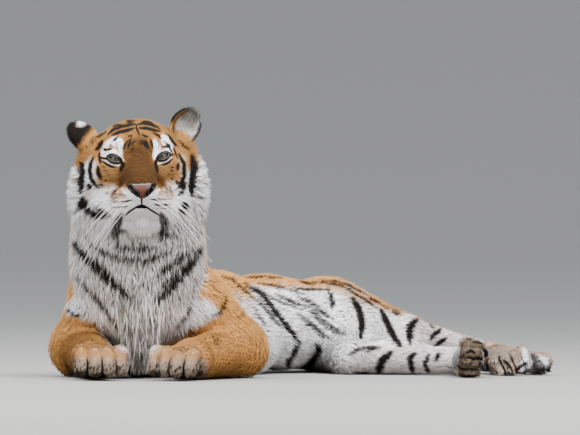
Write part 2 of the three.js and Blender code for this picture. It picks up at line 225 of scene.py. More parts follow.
def hind_leg(name, joints, across, top, calf, pale, depths, blends):
    """Thigh, shank and foot; `top` is the way that the back of the foot faces, `calf` how full the shank
    is."""
    hip, knee, hock, toes = joints
    r = LEG_RADII
    foot = [limb(hock, hock + 0.6 * (toes - hock), r[2], r[3] * 0.82, depths[2], pale)]
    foot += paw(hock + 0.45 * (toes - hock), toes, r[3], 20, across, depths[2], pale, top)
    return [
        Group(name + "_upper", [limb(hip, knee, r[0], r[1], depths[0], pale)], 10, 46),
        Group(name + "_lower", [limb(knee, hock, r[1] * calf, r[2], depths[1], pale)], 10, blends[0]),
        Group(name + "_paw", foot, 11, blends[1]),
    ]


FLESH = [
    Group("chest", [station((-335, 225, 179), (148, 205, 186), 0, 84, 17),
                    station((-280, 395, 154), (130, 170, 150), 30, 68, 15, -0.3)], 60, 60),
    Group("belly", [station((-168, 575, 119), (124, 178, 156), 54, 62, 14, -0.35),
                    station((-50, 765, 124), (117, 168, 149), 74, 60, 14, -0.4)], 60, 70),
    Group("rump", [station((62, 915, 115), (112, 150, 142), 86, 60, 13, -0.45),
                   station((165, 1000, 104), (98, 100, 98), 86, 60, 13, -0.8)], 50, 70),
    Group("neck", [limb(at(-359, 62, 410), at(-360, 130, 285), 156, 164, 20, (0, -1, -0.2, -0.1)),
                   limb(at(-357, 20, 360), at(-354, 40, 190), 122, 108, 21, (0, -1, 0, 0.2))], 60, 44),
    Group("head", [
        head_egg(0, 92, 8, (98, 107, 78), 6),
        head_egg(0, 34, 24, (82, 46, 48), 4),
        *both(60, 50, -36, (62, 62, 56), 5),
        *both(99.5, 86, -82, (64, 58, 98), 20),
        *both(96, 92, 6, (42, 44, 48), 11),
        *both(50, 26, -112, (56, 58, 52), 12),
        limb(in_head(0, 22, -14), in_head(0, -68, -56), 48, 35, 3),
        *both(30, 42 - MUZZLE_REACH, -98, (39, 42, 36), 3),
        head_egg(0, 18 - MUZZLE_REACH, -73, (33, 20, 17), 2),
        head_egg(0, -46, -145, (43, 40, 30), 19),
    ], 24, 34),
    *foreleg("left_arm", LEFT_ARM, (-0.9, -0.3, 0), (0.93, -0.37, 0), 36),
    *foreleg("right_arm", RIGHT_ARM, (0.9, -0.3, 0), (0.99, 0.15, 0), 40),
    *hind_leg("right_leg", RIGHT_LEG, (0.1, 0, 1), (-1, 0, 0), 0.74, (0, -0.2, 1, -0.1), (13, 9, 5),
              (14, 12)),
    *hind_leg("left_leg", LEFT_LEG, (0.9, 0.2, 0.35), (-0.3, 0, 1), 0.92, (0.2, -0.8, -0.4, 0), (13, 9, 5),
              (12, 12)),
    Group("tail", [limb(a, b, ra, rb, 11, (-0.4, 0, -0.6, -0.2))
                   for (a, ra), (b, rb) in zip(TAIL, TAIL[1:])], 16, 30),
]
# the blends are in the order of the CAD solids: the paws of both arms come after both forearms
ORDER = ["chest", "belly", "rump", "neck", "head", "left_arm_upper", "right_arm_upper", "left_arm_lower",
         "right_arm_lower", "left_arm_paw", "right_arm_paw", "right_leg_upper", "right_leg_lower",
         "right_leg_paw", "left_leg_upper", "left_leg_lower", "left_leg_paw", "tail"]
FLESH = sorted(FLESH, key=lambda group: ORDER.index(group.name))
SHARE = 12 * MM  # how quickly a shape's say in the coat fades with the distance from it
NOSE_TIP = in_head(0, -100, -66)


def outline(p):
    """Distance to the tips of the coat."""
    total = None
    for group in FLESH:
        d = None
        for shape in group.shapes:
            s = shape.distance(p)
            d = s if d is None else blend(d, s, group.inner * MM)
        total = d if total is None else blend(total, d, group.outer * MM)
    return total


Coat = namedtuple("Coat", "distance depth lie pale owner head")


def coat_at(p):
    """The coat's distance, depth, lie, paleness and owner: means over the shapes, weighted by
    exp(-distance / SHARE)."""
    total = None
    weight = np.zeros(len(p))
    head_weight = np.zeros(len(p))
    depth = np.zeros(len(p))
    lie = np.zeros((len(p), 3))
    pale = np.zeros((len(p), 4))
    best = np.full(len(p), np.inf)
    owner = np.zeros(len(p), int)
    for number, group in enumerate(FLESH):
        d = None
        for shape in group.shapes:
            s = shape.distance(p)
            w = np.exp(-np.clip(s, -0.02, 0.25) / SHARE)
            weight += w
            depth += w * shape.depth
            pale += w[:, None] * shape.pale
            if group.name == "head":
                head_weight += w
            else:
                lie += w[:, None] * shape.lie
            d = s if d is None else blend(d, s, group.inner * MM)
        owner[d < best] = number
        best = np.minimum(best, d)
        total = d if total is None else blend(total, d, group.outer * MM)
    lie += head_weight[:, None] * unit(p - NOSE_TIP)
    head = head_weight / weight
    back = head_place(p)[:, 1]
    depth = depth / weight * (1 - head * 0.55 * smooth(75, 5, back))
    return Coat(total, depth, lie / weight[:, None], pale / weight[:, None], owner, head)


# ---- Eyes' openings -----------------------------------------------------------------------------

EYE_SLANT = 19  # degrees that the outer corner stands above the inner one
EYE_HALF = 16.0
EYE_UPPER = 7.0
EYE_LOWER = 7.4
LID = 2.4 * MM


def eye_axes(side):
    """Outward, upward and forward axes of one eye's opening."""
    out = unit(HEAD @ (turn_about("y", -side * EYE_SLANT) @ np.array((side, 0.0, 0.0))))
    forward = unit(HEAD @ np.array((side * 0.18, -1.0, 0.04)))
    out = unit(out - (out @ forward) * forward)
    up = np.cross(out, forward) * side
    return out, up * np.sign(up[2]), forward


def eye_centre(name):
    """The middle of the CAD eye's box."""
    low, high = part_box(name)
    return (np.array(low) + np.array(high)) / 2


EYE_SET = [("eye_left", 1, eye_centre("eye_left")), ("eye_right", -1, eye_centre("eye_right"))]


def almond(u, v):
    """Distance in mm to the opening between the lids: where two circles through its corners overlap."""
    inside = None
    for height, sign in ((EYE_UPPER, -1), (EYE_LOWER, 1)):
        radius = (EYE_HALF ** 2 + height ** 2) / (2 * height)
        arc = np.hypot(u, v - sign * (radius - height)) - radius
        inside = arc if inside is None else np.maximum(inside, arc)
    return inside


def opening(p):
    """The distance in mm to the nearer eye's opening, measured across its gaze, and that over the eyeball."""
    nearest = np.full(len(p), 99.0)
    radial = np.full(len(p), 99.0)
    for _, side, centre in EYE_SET:
        out, up, forward = eye_axes(side)
        q = p - centre
        ahead = q @ forward > 0
        gap = np.where(ahead, almond(q @ out / MM, q @ up / MM), 99.0)
        r = np.linalg.norm(q, axis=1)
        radial = np.where(gap < nearest, r, radial)
        nearest = np.minimum(nearest, gap)
    return nearest, radial


# The bare nose, across and up in the head's frame.
NOSE_MIDDLE = (0, -68)
NOSE_HALF = [(36, -55), (35, -61), (32, -67), (25, -75), (14, -83), (6, -88)]
NOSE_TOP = [(-22, -53), (-8, -55), (8, -55), (22, -53)]
NOSE_OUTLINE = NOSE_HALF + [(-x, z) for x, z in reversed(NOSE_HALF)] + NOSE_TOP
NOSTRILS = [limb(in_head(side * 13, -107, -78), in_head(side * 29, -98, -62), 4.5, 5.5, 0)
            for side in (-1, 1)]


def skin_distance(p):
    """Distance to the skin: the outline drawn in by the coat's depth, lids over the eyes, nostrils pressed
    in, flat on the floor."""
    coat = coat_at(p)
    d = coat.distance + coat.depth
    near = np.nonzero(coat.head > 0.5)[0]
    for _, _, centre in EYE_SET:
        ball = np.linalg.norm(p[near] - centre, axis=1) - EYE_RADIUS - LID
        d[near] = blend(d[near], ball, 7 * MM)
    gap, radial = opening(p[near])
    hole = np.maximum(gap * MM, EYE_RADIUS - 2.5 * MM - radial)
    d[near] = np.maximum(d[near], -hole)
    for nostril in NOSTRILS:
        d[near] = -blend(-d[near], nostril.distance(p[near]), 3 * MM)
    return np.maximum(d, 1.5 * MM - p[:, 2])


# ---- Meshing ------------------------------------------------------------------------------------

CORNERS = np.array([(i, j, k) for k in (0, 1) for j in (0, 1) for i in (0, 1)])
CELL_EDGES = [(a, b) for a in range(8) for b in range(a + 1, 8) if np.abs(CORNERS[a] - CORNERS[b]).sum() == 1]


def in_batches(field, p, size=150_000):
    """The field at many points, worked out a batch at a time to save memory."""
    return np.concatenate([field(p[i:i + size]) for i in range(0, len(p), size)])


def surface_net(field, low, high, cell):
    """Surface of field = 0: a corner in each grid cell that it crosses, at the mean of the crossings of the
    cell's edges, and a quadrilateral round each grid edge that it crosses. Cells far off are filled from a
    grid four times coarser."""
    count = (np.ceil((high - low) / cell / 4).astype(int) + 1) * 4
    grid = np.stack(np.meshgrid(*[np.arange(n) for n in count], indexing="ij"), -1)
    rough = in_batches(field, (low + (grid[::4, ::4, ::4] + 1.5) * cell).reshape(-1, 3))
    value = rough.reshape(count // 4).repeat(4, 0).repeat(4, 1).repeat(4, 2)
    near = np.abs(value) < 7 * cell
    value[near] = in_batches(field, low + grid[near] * cell)
    inside = value < 0
    total = sum(inside[i:count[0] - 1 + i, j:count[1] - 1 + j, k:count[2] - 1 + k].astype(int)
                for i, j, k in CORNERS)
    cells = np.argwhere((total > 0) & (total < 8))
    number = np.full(count, -1)
    number[tuple(cells.T)] = np.arange(len(cells))
    at_corner = np.stack([value[tuple((cells + c).T)] for c in CORNERS], 1)
    place = np.zeros((len(cells), 3))
    crossings = np.zeros(len(cells))
    for a, b in CELL_EDGES:
        va, vb = at_corner[:, a], at_corner[:, b]
        crosses = (va < 0) != (vb < 0)
        t = np.where(crosses, va / np.where(crosses, va - vb, 1), 0)[:, None]
        place += crosses[:, None] * (CORNERS[a] + t * (CORNERS[b] - CORNERS[a]))
        crossings += crosses
    points = low + (cells + place / crossings[:, None]) * cell
    quads = []
    for axis in range(3):
        step = np.eye(3, dtype=int)[axis]
        b, c = np.roll(np.eye(3, dtype=int), -1 - axis, 0)[:2]
        start = np.argwhere(inside[:-1, :-1, :-1] != inside[step[0]:, step[1]:, step[2]:]
                            [:count[0] - 1, :count[1] - 1, :count[2] - 1])
        start = start[(start > 0).all(1)]
        ring = np.stack([number[tuple((start - u * b - v * c).T)]
                         for u, v in ((1, 1), (0, 1), (0, 0), (1, 0))], 1)
        flip = ~inside[tuple(start.T)]
        ring[flip] = ring[flip][:, ::-1]
        quads.append(ring)
    quads = np.concatenate(quads)
    return points, np.concatenate([quads[:, [0, 1, 2]], quads[:, [0, 2, 3]]])


def settle(points, field, limit, steps=2):
    """Moves points along the slope of the field on to its surface, each step no further than `limit`."""
    d = 0.4 * MM
    f = in_batches(field, points)
    slope = np.stack([in_batches(field, points + d * e) - f for e in np.eye(3)], 1) / d
    along = -slope / np.maximum((slope ** 2).sum(1), 0.15)[:, None]
    for step in range(steps):
        if step:
            f = in_batches(field, points)
        move = f[:, None] * along
        points = points + move * np.minimum(1, limit / (np.linalg.norm(move, axis=1) + 1e-12))[:, None]
    return points


def refine(points, triangles, wanted):
    """Halves every edge that is longer than wanted(middle), and parts the triangles beside it."""
    sides = np.sort(np.concatenate([triangles[:, [0, 1]], triangles[:, [1, 2]], triangles[:, [2, 0]]]), 1)
    edges, which = np.unique(sides, axis=0, return_inverse=True)
    which = which.reshape(3, -1).T
    middle = points[edges].mean(1)
    long = np.linalg.norm(points[edges[:, 0]] - points[edges[:, 1]], axis=1) > wanted(middle)
    new = np.full(len(edges), -1)
    new[long] = len(points) + np.arange(long.sum())
    mids = new[which]
    cut = mids >= 0
    parts = [triangles[~cut.any(1)]]
    for turn in range(3):
        t, m = np.roll(triangles, -turn, 1), np.roll(mids, -turn, 1)
        one = (m[:, 0] >= 0) & (m[:, 1] < 0) & (m[:, 2] < 0)
        parts += [np.stack([t[one, 0], m[one, 0], t[one, 2]], 1),
                  np.stack([m[one, 0], t[one, 1], t[one, 2]], 1)]
        two = (m[:, 0] >= 0) & (m[:, 1] >= 0) & (m[:, 2] < 0)
        parts += [np.stack([m[two, 0], t[two, 1], m[two, 1]], 1),
                  np.stack([t[two, 0], m[two, 0], m[two, 1]], 1),
                  np.stack([t[two, 0], m[two, 1], t[two, 2]], 1)]
    t, m = triangles[cut.all(1)], mids[cut.all(1)]
    parts += [np.stack([t[:, 0], m[:, 0], m[:, 2]], 1), np.stack([m[:, 0], t[:, 1], m[:, 1]], 1),
              np.stack([m[:, 2], m[:, 1], t[:, 2]], 1), m]
    return np.concatenate([points, middle[long]]), np.concatenate(parts)


def relax(points, triangles, strength=0.5):
    """Moves each point part of the way to the mean of its neighbours."""
    i = np.concatenate([triangles[:, [0, 1, 2]], triangles[:, [1, 2, 0]]]).ravel()
    j = np.concatenate([triangles[:, [1, 2, 0]], triangles[:, [0, 1, 2]]]).ravel()
    count = np.bincount(i, minlength=len(points))
    mean = np.stack([np.bincount(i, points[j, a], len(points)) for a in range(3)], 1) / count[:, None]
    return points + strength * (mean - points)


def normals_of(points, triangles):
    """Normals at the corners: the sum of the area vectors of the triangles round them."""
    a, b, c = (points[triangles[:, i]] for i in range(3))
    area = np.cross(b - a, c - a)
    total = np.stack([sum(np.bincount(triangles[:, i], area[:, axis], len(points)) for i in range(3))
                      for axis in range(3)], 1)
    return unit(total)


def mesh_object(name, points, faces, smooth_shade=True, attributes=None):
    """A mesh object from arrays of points and of triangles or quadrilaterals, standing at the origin."""
    mesh = bpy.data.meshes.new(name)
    faces = np.asarray(faces)
    sides = faces.shape[1]
    mesh.vertices.add(len(points))
    mesh.vertices.foreach_set("co", np.asarray(points, np.float32).ravel())
    mesh.loops.add(faces.size)
    mesh.loops.foreach_set("vertex_index", faces.astype(np.int32).ravel())
    mesh.polygons.add(len(faces))
    mesh.polygons.foreach_set("loop_start", np.arange(0, faces.size, sides, dtype=np.int32))
    mesh.polygons.foreach_set("use_smooth", np.full(len(faces), smooth_shade))
    for key, colour in (attributes or {}).items():
        layer = mesh.attributes.new(key, "FLOAT_COLOR", "POINT")
        rgba = np.concatenate([colour, np.ones((len(colour), 1))], 1)
        layer.data.foreach_set("color", rgba.astype(np.float32).ravel())
    mesh.update(calc_edges=True)
    mesh.validate()
    piece = bpy.data.objects.new(name, mesh)
    bpy.context.scene.collection.objects.link(piece)
    return piece


# ---- Markings -----------------------------------------------------------------------------------

VIEW_DISTANCE = 15  # metres
VIEW_WIDTH = 1.363  # metres across, seen at the breastbone
VIEWPOINT = at(0, -VIEW_DISTANCE / MM, 383)  # the markings of the front are laid out as seen from here


def from_front(xz):
    """Directions from the viewpoint through places across and up, in mm, on the plane of the breastbone."""
    xz = np.asarray(xz, float)
    target = np.stack([xz[:, 0], np.zeros(len(xz)), xz[:, 1]], 1)
    return unit((target - ORIGIN) * MM - VIEWPOINT)


def front_place(p):
    """Where the lines from the viewpoint to the points pass the plane of the breastbone: across and up,
    in mm."""
    q = p / MM + ORIGIN
    eye = VIEWPOINT / MM + ORIGIN
    t = (0 - eye[1]) / (q[:, 1] - eye[1])
    return (eye + t[:, None] * (q - eye))[:, [0, 2]]


def half_depth(p):
    """Distance to the surface half way up the coat, on which the markings are laid out."""
    coat = coat_at(p)
    return coat.distance + 0.5 * coat.depth


def on_body(front, field=half_depth):
    """Where the lines of sight through places on the front meet the body."""
    ray = from_front(front)
    p = VIEWPOINT + ray * 14.2
    for _ in range(60):
        p = p + np.clip(0.9 * field(p), -0.02, 0.2)[:, None] * ray
    return p, np.abs(field(p)) < 3 * MM


SIGHT_STEP = 6  # mm between the lines of sight
SIGHT_CORNER = np.array((-640, -20))
SIGHT_COUNT = (225, 114)
NOTHING_THERE = 99  # metres, further than anything


def sight_depths():
    """How far the body is from the viewpoint along a grid of lines of sight: the furthest of each with its
    eight neighbours, so that an edge hides nothing beside it."""
    grid = np.stack(np.meshgrid(*map(np.arange, SIGHT_COUNT), indexing="ij"), -1).reshape(-1, 2)
    p, found = on_body(SIGHT_CORNER + SIGHT_STEP * grid)
    far = np.where(found, np.linalg.norm(p - VIEWPOINT, axis=1), NOTHING_THERE).reshape(SIGHT_COUNT)
    for axis in (0, 1):
        far = np.maximum(far, np.maximum(np.roll(far, 1, axis), np.roll(far, -1, axis)))
    return far


SIGHT = sight_depths()


def in_sight(p):
    """1 where a line of sight from the viewpoint reaches the body, 0 where another part is in its way."""
    cell = np.round((front_place(p) - SIGHT_CORNER) / SIGHT_STEP).astype(int)
    cell = np.clip(cell, 0, np.array(SIGHT.shape) - 1)
    behind = np.linalg.norm(p - VIEWPOINT, axis=1) - SIGHT[cell[:, 0], cell[:, 1]]
    return smooth(60 * MM, 30 * MM, behind)


Strokes = namedtuple("Strokes", "places front half owner")
REACH = 60 * MM  # a stroke marks nothing further from it than this, such as a leg behind the one it is on


def painted(strokes, wider=1.0):
    """Strokes drawn on the front of the animal: each is (width, (across, up), ...), a line with thin ends.
    Gives points 2.5 mm apart along them, on the body and on the front, with half widths and the stroke's
    number."""
    front, half, owner = [], [], []
    for number, (width, *corners) in enumerate(strokes):
        corners = np.array(corners, float)
        along = np.concatenate([[0], np.cumsum(np.hypot(*np.diff(corners, axis=0).T))])
        t = np.linspace(0, along[-1], max(2, int(along[-1] / 2.5) + 1))
        front.append(np.stack([np.interp(t, along, corners[:, a]) for a in (0, 1)], 1))
        ends = np.minimum(t, along[-1] - t) / (0.2 * along[-1] + 3)
        half.append(wider * width / 2 * np.clip(0.45 + 0.55 * ends, 0, 1))
        owner.append(np.full(len(t), number))
    front, half, owner = np.concatenate(front), np.concatenate(half), np.concatenate(owner)
    places, found = on_body(front)
    return Strokes(places[found], front[found], half[found], owner[found])


def stroke_cover(p, strokes, softness):
    """How far each point lies within the strokes, as seen from the front: 1 inside, 0 outside, soft between.
    The softness, in mm, is one number or one for each point."""
    seen = front_place(p)
    best = np.full(len(p), 99.0)
    for number in np.unique(strokes.owner):
        own = strokes.owner == number
        line, flat, half = strokes.places[own], strokes.front[own], strokes.half[own]
        reach = half.max() + np.max(softness)
        near = np.nonzero(((seen > flat.min(0) - reach) & (seen < flat.max(0) + reach)).all(1))[0]
        if len(near):
            gap = np.linalg.norm(seen[near, None] - flat[None], axis=2) - half
            gap[np.linalg.norm(p[near, None] - line[None], axis=2) > REACH] = 99
            best[near] = np.minimum(best[near], gap.min(1))
    return smooth(softness, -softness, best)


def area_cover(xz, corners, softness):
    """1 inside a closed outline, 0 outside, over a soft edge, all in mm."""
    corners = np.array(corners, float)
    inside = np.zeros(len(xz), bool)
    gap = np.full(len(xz), 1e9)
    for a, b in zip(corners, np.roll(corners, -1, 0)):
        side = b - a
        t = np.clip((xz - a) @ side / (side @ side), 0, 1)
        gap = np.minimum(gap, np.linalg.norm(xz - a - t[:, None] * side, axis=1))
        spans = (a[1] > xz[:, 1]) != (b[1] > xz[:, 1])
        cross = a[0] + (xz[:, 1] - a[1]) * (b[0] - a[0]) / (b[1] - a[1] + 1e-9)
        inside ^= spans & (xz[:, 0] < cross)
    return smooth(-softness, softness, np.where(inside, gap, -gap))


# Black strokes: width, then points across and up on the front, in mm.
FACE_STROKES = [
    # crown
    (5.5, (-430, 574), (-417, 586), (-395, 594), (-366, 599)),
    (6.5, (-420, 573), (-403, 580), (-382, 585), (-368, 590)),
    (3.5, (-439, 580), (-421, 594), (-410, 601)),
    (3.5, (-417, 600), (-398, 606)),
    (5, (-363, 597), (-350, 601), (-332, 599), (-314, 593), (-308, 588)),
    (6, (-357, 590), (-338, 590), (-320, 585), (-307, 583)),
    (5, (-324, 578), (-312, 574), (-304, 565)),
    (3.5, (-364, 599), (-362, 587), (-357, 578), (-355, 572)),
    (4.5, (-381, 571), (-372, 572)),
    (4, (-351, 575), (-334, 568)),
    (4.5, (-392, 541), (-390, 550), (-384, 557)),
    (4.5, (-383, 543), (-380, 551), (-376, 560)),
    (3.6, (-373, 536), (-372, 541)),
    (3.8, (-373, 552), (-367, 560)),
    (4, (-350, 563), (-346, 555), (-341, 545)),
    (4.3, (-342, 564), (-336, 549), (-333, 541)),
    (4.3, (-330, 564), (-326, 555), (-324, 544)),
    (3.5, (-410, 601), (-387, 607), (-366, 607)), (3.5, (-426, 591), (-408, 597), (-394, 597)),
    (4, (-350, 606), (-334, 605), (-322, 600)), (3.2, (-387, 602), (-369, 603)),
    (3, (-391, 549), (-384, 559), (-372, 565)), (2.6, (-371, 555), (-365, 560)),
    (3, (-349, 562), (-341, 554), (-337, 542)), (3, (-355, 560), (-349, 551)),
    (7, (-442, 559), (-447, 550), (-454, 538)),
    (3, (-475, 556), (-461, 567), (-436, 579), (-426, 589)), (2.6, (-489, 542), (-468, 553), (-454, 564)),
    (4, (-298, 559), (-288, 551), (-277, 531)), (3, (-295, 580), (-281, 566), (-263, 545)),
    # brows and round the eyes
    (7.6, (-439, 540), (-434, 538)),
    (4.8, (-434, 538), (-420, 540)),
    (3.3, (-426, 547), (-421, 551)),
    (5.5, (-418, 559), (-406, 569)),
    (5, (-303, 546), (-283, 547)),
    (5, (-283, 547), (-287, 553)),
    (8, (-459, 538), (-450, 547), (-444, 560)),
    (3.5, (-456, 563), (-442, 575), (-433, 581)),
    (5.5, (-450, 531), (-449, 521), (-447, 506)),
    (5.5, (-288, 575), (-277, 558), (-271, 548)),
    (3.8, (-277, 548), (-273, 539), (-269, 529), (-265, 519)),
    (4, (-265, 563), (-250, 549), (-234, 539)),
    (3.8, (-445, 511), (-440, 510), (-431, 504), (-421, 499), (-411, 498)),
    (3.3, (-307, 504), (-297, 505), (-287, 509), (-277, 519)),
    (4.5, (-447, 521), (-439, 518), (-429, 518)),
    (4, (-291, 528), (-283, 527), (-274, 528)),
    (7.8, (-398, 512), (-393, 504), (-397, 498), (-399, 489)),
    (6.3, (-316, 516), (-317, 506), (-314, 496), (-312, 487)),
    # cheeks
    (8.5, (-464, 520), (-470, 506), (-472, 488), (-469, 471), (-460, 456), (-452, 448)),
    (5, (-452, 455), (-442, 455), (-439, 449)),
    (9, (-453, 499), (-452, 484), (-445, 469)),
    (13, (-492, 506), (-491, 481), (-493, 457), (-496, 437)),
    (13, (-475, 455), (-473, 446)),
    (18, (-487, 424), (-489, 410), (-498, 401)),
    (4.3, (-440, 499), (-437, 498)), (5, (-436, 489), (-432, 489)), (3.5, (-432, 482), (-428, 482)),
    (3, (-440, 475), (-437, 475)), (3, (-430, 477), (-427, 478)), (4.3, (-436, 464), (-432, 468)),
    (3.5, (-426, 464), (-424, 466)), (3.3, (-419, 461), (-417, 464)), (3.8, (-428, 447), (-426, 452)),
    (4.3, (-433, 433), (-430, 439)), (3.8, (-418, 436), (-413, 442), (-408, 446)),
    (3.3, (-420, 427), (-418, 434)),
    (14, (-483, 400), (-462, 383), (-432, 378)),
    (9, (-459, 400), (-438, 391), (-420, 376)),
    (8.5, (-262, 530), (-250, 507), (-249, 477), (-258, 456), (-267, 445)),
    (6.5, (-263, 508), (-265, 492)),
    (15, (-231, 525), (-225, 501), (-229, 471), (-230, 432)),
    (5, (-268, 469), (-266, 458)), (4.3, (-258, 459), (-263, 451), (-267, 444)),
    (9.5, (-246, 461), (-252, 442), (-262, 433)),
    (12, (-252, 415), (-240, 402)),
    (10, (-262, 399), (-246, 384)),
    (4.3, (-280, 498), (-275, 499)), (3.8, (-281, 492), (-276, 491)), (3.8, (-286, 482), (-283, 481)),
    (3.8, (-278, 483), (-275, 481)), (4.3, (-279, 474), (-277, 469)), (3.3, (-282, 465), (-280, 460)),
    (3.8, (-293, 449), (-287, 444)), (3.5, (-283, 455), (-277, 436)),
    # rows of the whiskers' roots
    (3, (-414, 435), (-408, 434)), (3, (-403, 434), (-396, 433)), (3, (-392, 433), (-385, 432)),
    (3, (-416, 424), (-414, 426)), (2.8, (-409, 425), (-407, 426)),
    (3.8, (-421, 417), (-411, 416), (-399, 415), (-386, 417), (-371, 421)),
    (3.8, (-420, 403), (-410, 403), (-399, 404), (-391, 404), (-381, 407)),
    (3, (-309, 438), (-306, 439)), (3, (-301, 442), (-299, 442)), (3, (-294, 441), (-289, 440)),
    (3, (-292, 432), (-287, 431)),
    (3.8, (-328, 423), (-318, 422), (-300, 422), (-283, 423)),
    (3.8, (-319, 412), (-309, 409), (-294, 410), (-279, 412)),
    (2.8, (-314, 402), (-303, 402), (-289, 401)),
]
MOUTH_STROKES = [
    (4, (-349, 430), (-349, 419), (-349, 409)),
    (4.4, (-349, 411), (-358, 406), (-369, 399), (-378, 393), (-387, 384)),
    (4.4, (-349, 411), (-338, 405), (-328, 398), (-316, 391), (-304, 383)),
    (8, (-363, 403), (-349, 406), (-335, 403)),
]
# Strokes of hair that is only half black.
FAINT_STROKES = [
    (4, (-409, 556), (-409, 543), (-404, 532)),
    (4, (-312, 560), (-308, 552), (-311, 538)),
    (14, (-513, 346), (-511, 328), (-505, 308)),
    (14, (-209, 348), (-200, 331), (-204, 310)),
    # beside the chin: dark fur and painted shade; below it, a painted shadow under the chin
    (19, (-396, 388), (-405, 366), (-411, 342), (-413, 322)),
    (19, (-303, 389), (-295, 367), (-296, 341), (-303, 322)),
    (12, (-417, 308), (-391, 302), (-349, 298), (-305, 308)),
    # under the toes: painted shade where the paws meet the floor
    (20, (-500, 14), (-462, 4), (-404, 4), (-368, 16)),
    (20, (-330, 16), (-290, 4), (-240, 2), (-204, 16)),
    # neck and breast
    (9, (-230, 110), (-222, 106)), (4, (-172, 104), (-163, 80)), (7, (-264, 74), (-250, 66)),
    (10, (-248, 267), (-276, 234), (-304, 205)), (8, (-353, 210), (-342, 224)), (7, (-379, 172), (-365, 181)),
    (15, (-469, 312), (-432, 289), (-399, 280), (-342, 272), (-305, 285), (-277, 300)),
    (14, (-474, 279), (-445, 260), (-422, 244)), (6, (-104, 169), (-108, 151), (-120, 146)),
    (5, (-341, 149), (-350, 111), (-364, 73)), (5, (-329, 120), (-324, 92), (-340, 64)),
    (4, (-181, 108), (-171, 84)), (14, (-418, 340), (-387, 347)), (14, (-300, 338), (-262, 330)),
    # flank
    (9, (-106, 229), (-73, 215), (-37, 193), (-1, 179), (34, 167)),
    (13, (-76, 199), (-55, 169), (-31, 140), (-13, 122)), (9, (-82, 172), (-67, 148), (-51, 128)),
    (15, (19, 197), (46, 188), (76, 164), (106, 147)), (14, (23, 158), (47, 137), (71, 117), (95, 99)),
    (15, (46, 173), (76, 141), (112, 117), (130, 111)),
    (13, (243, 166), (261, 157)), (10, (285, 154), (303, 148)), (10, (329, 134), (344, 128)),
    (24, (574, 65), (583, 44), (601, 17)), (10, (612, 40), (606, 17)),
]
CHEST_STROKES = [
    (21, (-512, 319), (-493, 293), (-464, 265), (-431, 235), (-398, 207), (-374, 181)),
    (10, (-502, 236), (-473, 204), (-445, 171), (-421, 143), (-407, 120)),
    (22, (-199, 319), (-215, 291), (-239, 258), (-267, 224), (-299, 191), (-322, 172)),
    (13, (-225, 302), (-258, 279), (-290, 257), (-309, 240)),
    (8, (-224, 173), (-238, 149), (-261, 121)),
    (6, (-525, 185), (-525, 161), (-510, 149), (-482, 145)),
    (8, (-146, 195), (-149, 174), (-163, 155), (-177, 150)),
]
FLANK_STROKES = [
    (6, (-112, 240), (-82, 243), (-56, 245), (-32, 242), (-5, 237)),
    (8, (-50, 243), (-14, 241), (28, 232), (58, 228)),
    (6, (-73, 228), (-37, 225), (-2, 215), (40, 202)),
    (5, (52, 234), (87, 231), (123, 225), (147, 211), (177, 193), (207, 172)),
    (4.5, (70, 237), (111, 235), (141, 226), (171, 210), (207, 186), (234, 172)),
    (4, (123, 230), (153, 219), (183, 203), (213, 184)),
    (4.5, (153, 206), (177, 194), (201, 177)),
    (6, (4, 219), (40, 215), (70, 216), (100, 215)),
    (6, (-157, 244), (-133, 237), (-109, 217), (-85, 195), (-73, 184)),
    (15, (-97, 222), (-61, 202), (-37, 169), (-13, 140), (11, 110), (26, 87)),
    (13, (26, 90), (15, 63), (0, 39), (0, 15)),
    (9, (-31, 204), (11, 185), (46, 173)),
    (15, (65, 84), (71, 69), (59, 45), (36, 24)),
    (14, (94, 210), (103, 195), (103, 170)),
    (17, (150, 195), (166, 165), (172, 129), (169, 103)),
    (17, (216, 169), (231, 136), (246, 106), (264, 83)),
    (19, (303, 147), (285, 128), (285, 89)),
    (12, (359, 125), (342, 110), (333, 98)),
    (11, (371, 104), (357, 92), (342, 82)),
    (8, (143, 61), (160, 73), (184, 79), (211, 82)),
    (6, (181, 67), (196, 76), (217, 79)),
    (19, (241, 68), (220, 47), (211, 17)),
    (14, (300, 68), (286, 56), (289, 35), (295, 17)),
    (11, (330, 62), (321, 41), (331, 18)),
    (12, (354, 69), (345, 48)),
]
TOE_STROKES = [
    # hind feet: black pads, and painted shade in the slots between the toes
    (7, (504, 51), (513, 45), (521, 35), (526, 27)), (8, (534, 26), (545, 37), (561, 48)),
    (9, (516, 22), (529, 15), (549, 23)),
    (8, (418, 69), (429, 74), (437, 68)), (11, (452, 70), (461, 75), (463, 65), (455, 57)),
    (7, (424, 59), (433, 54), (449, 56), (458, 50)), (11, (449, 46), (455, 35), (459, 23)),
    (5, (410, 66), (408, 57)), (4, (419, 101), (435, 103), (451, 101)), (4, (431, 95), (448, 93), (461, 86)),
    (8, (398, 12), (426, 11), (462, 13)), (7, (468, 54), (467, 28), (470, 14)),
]
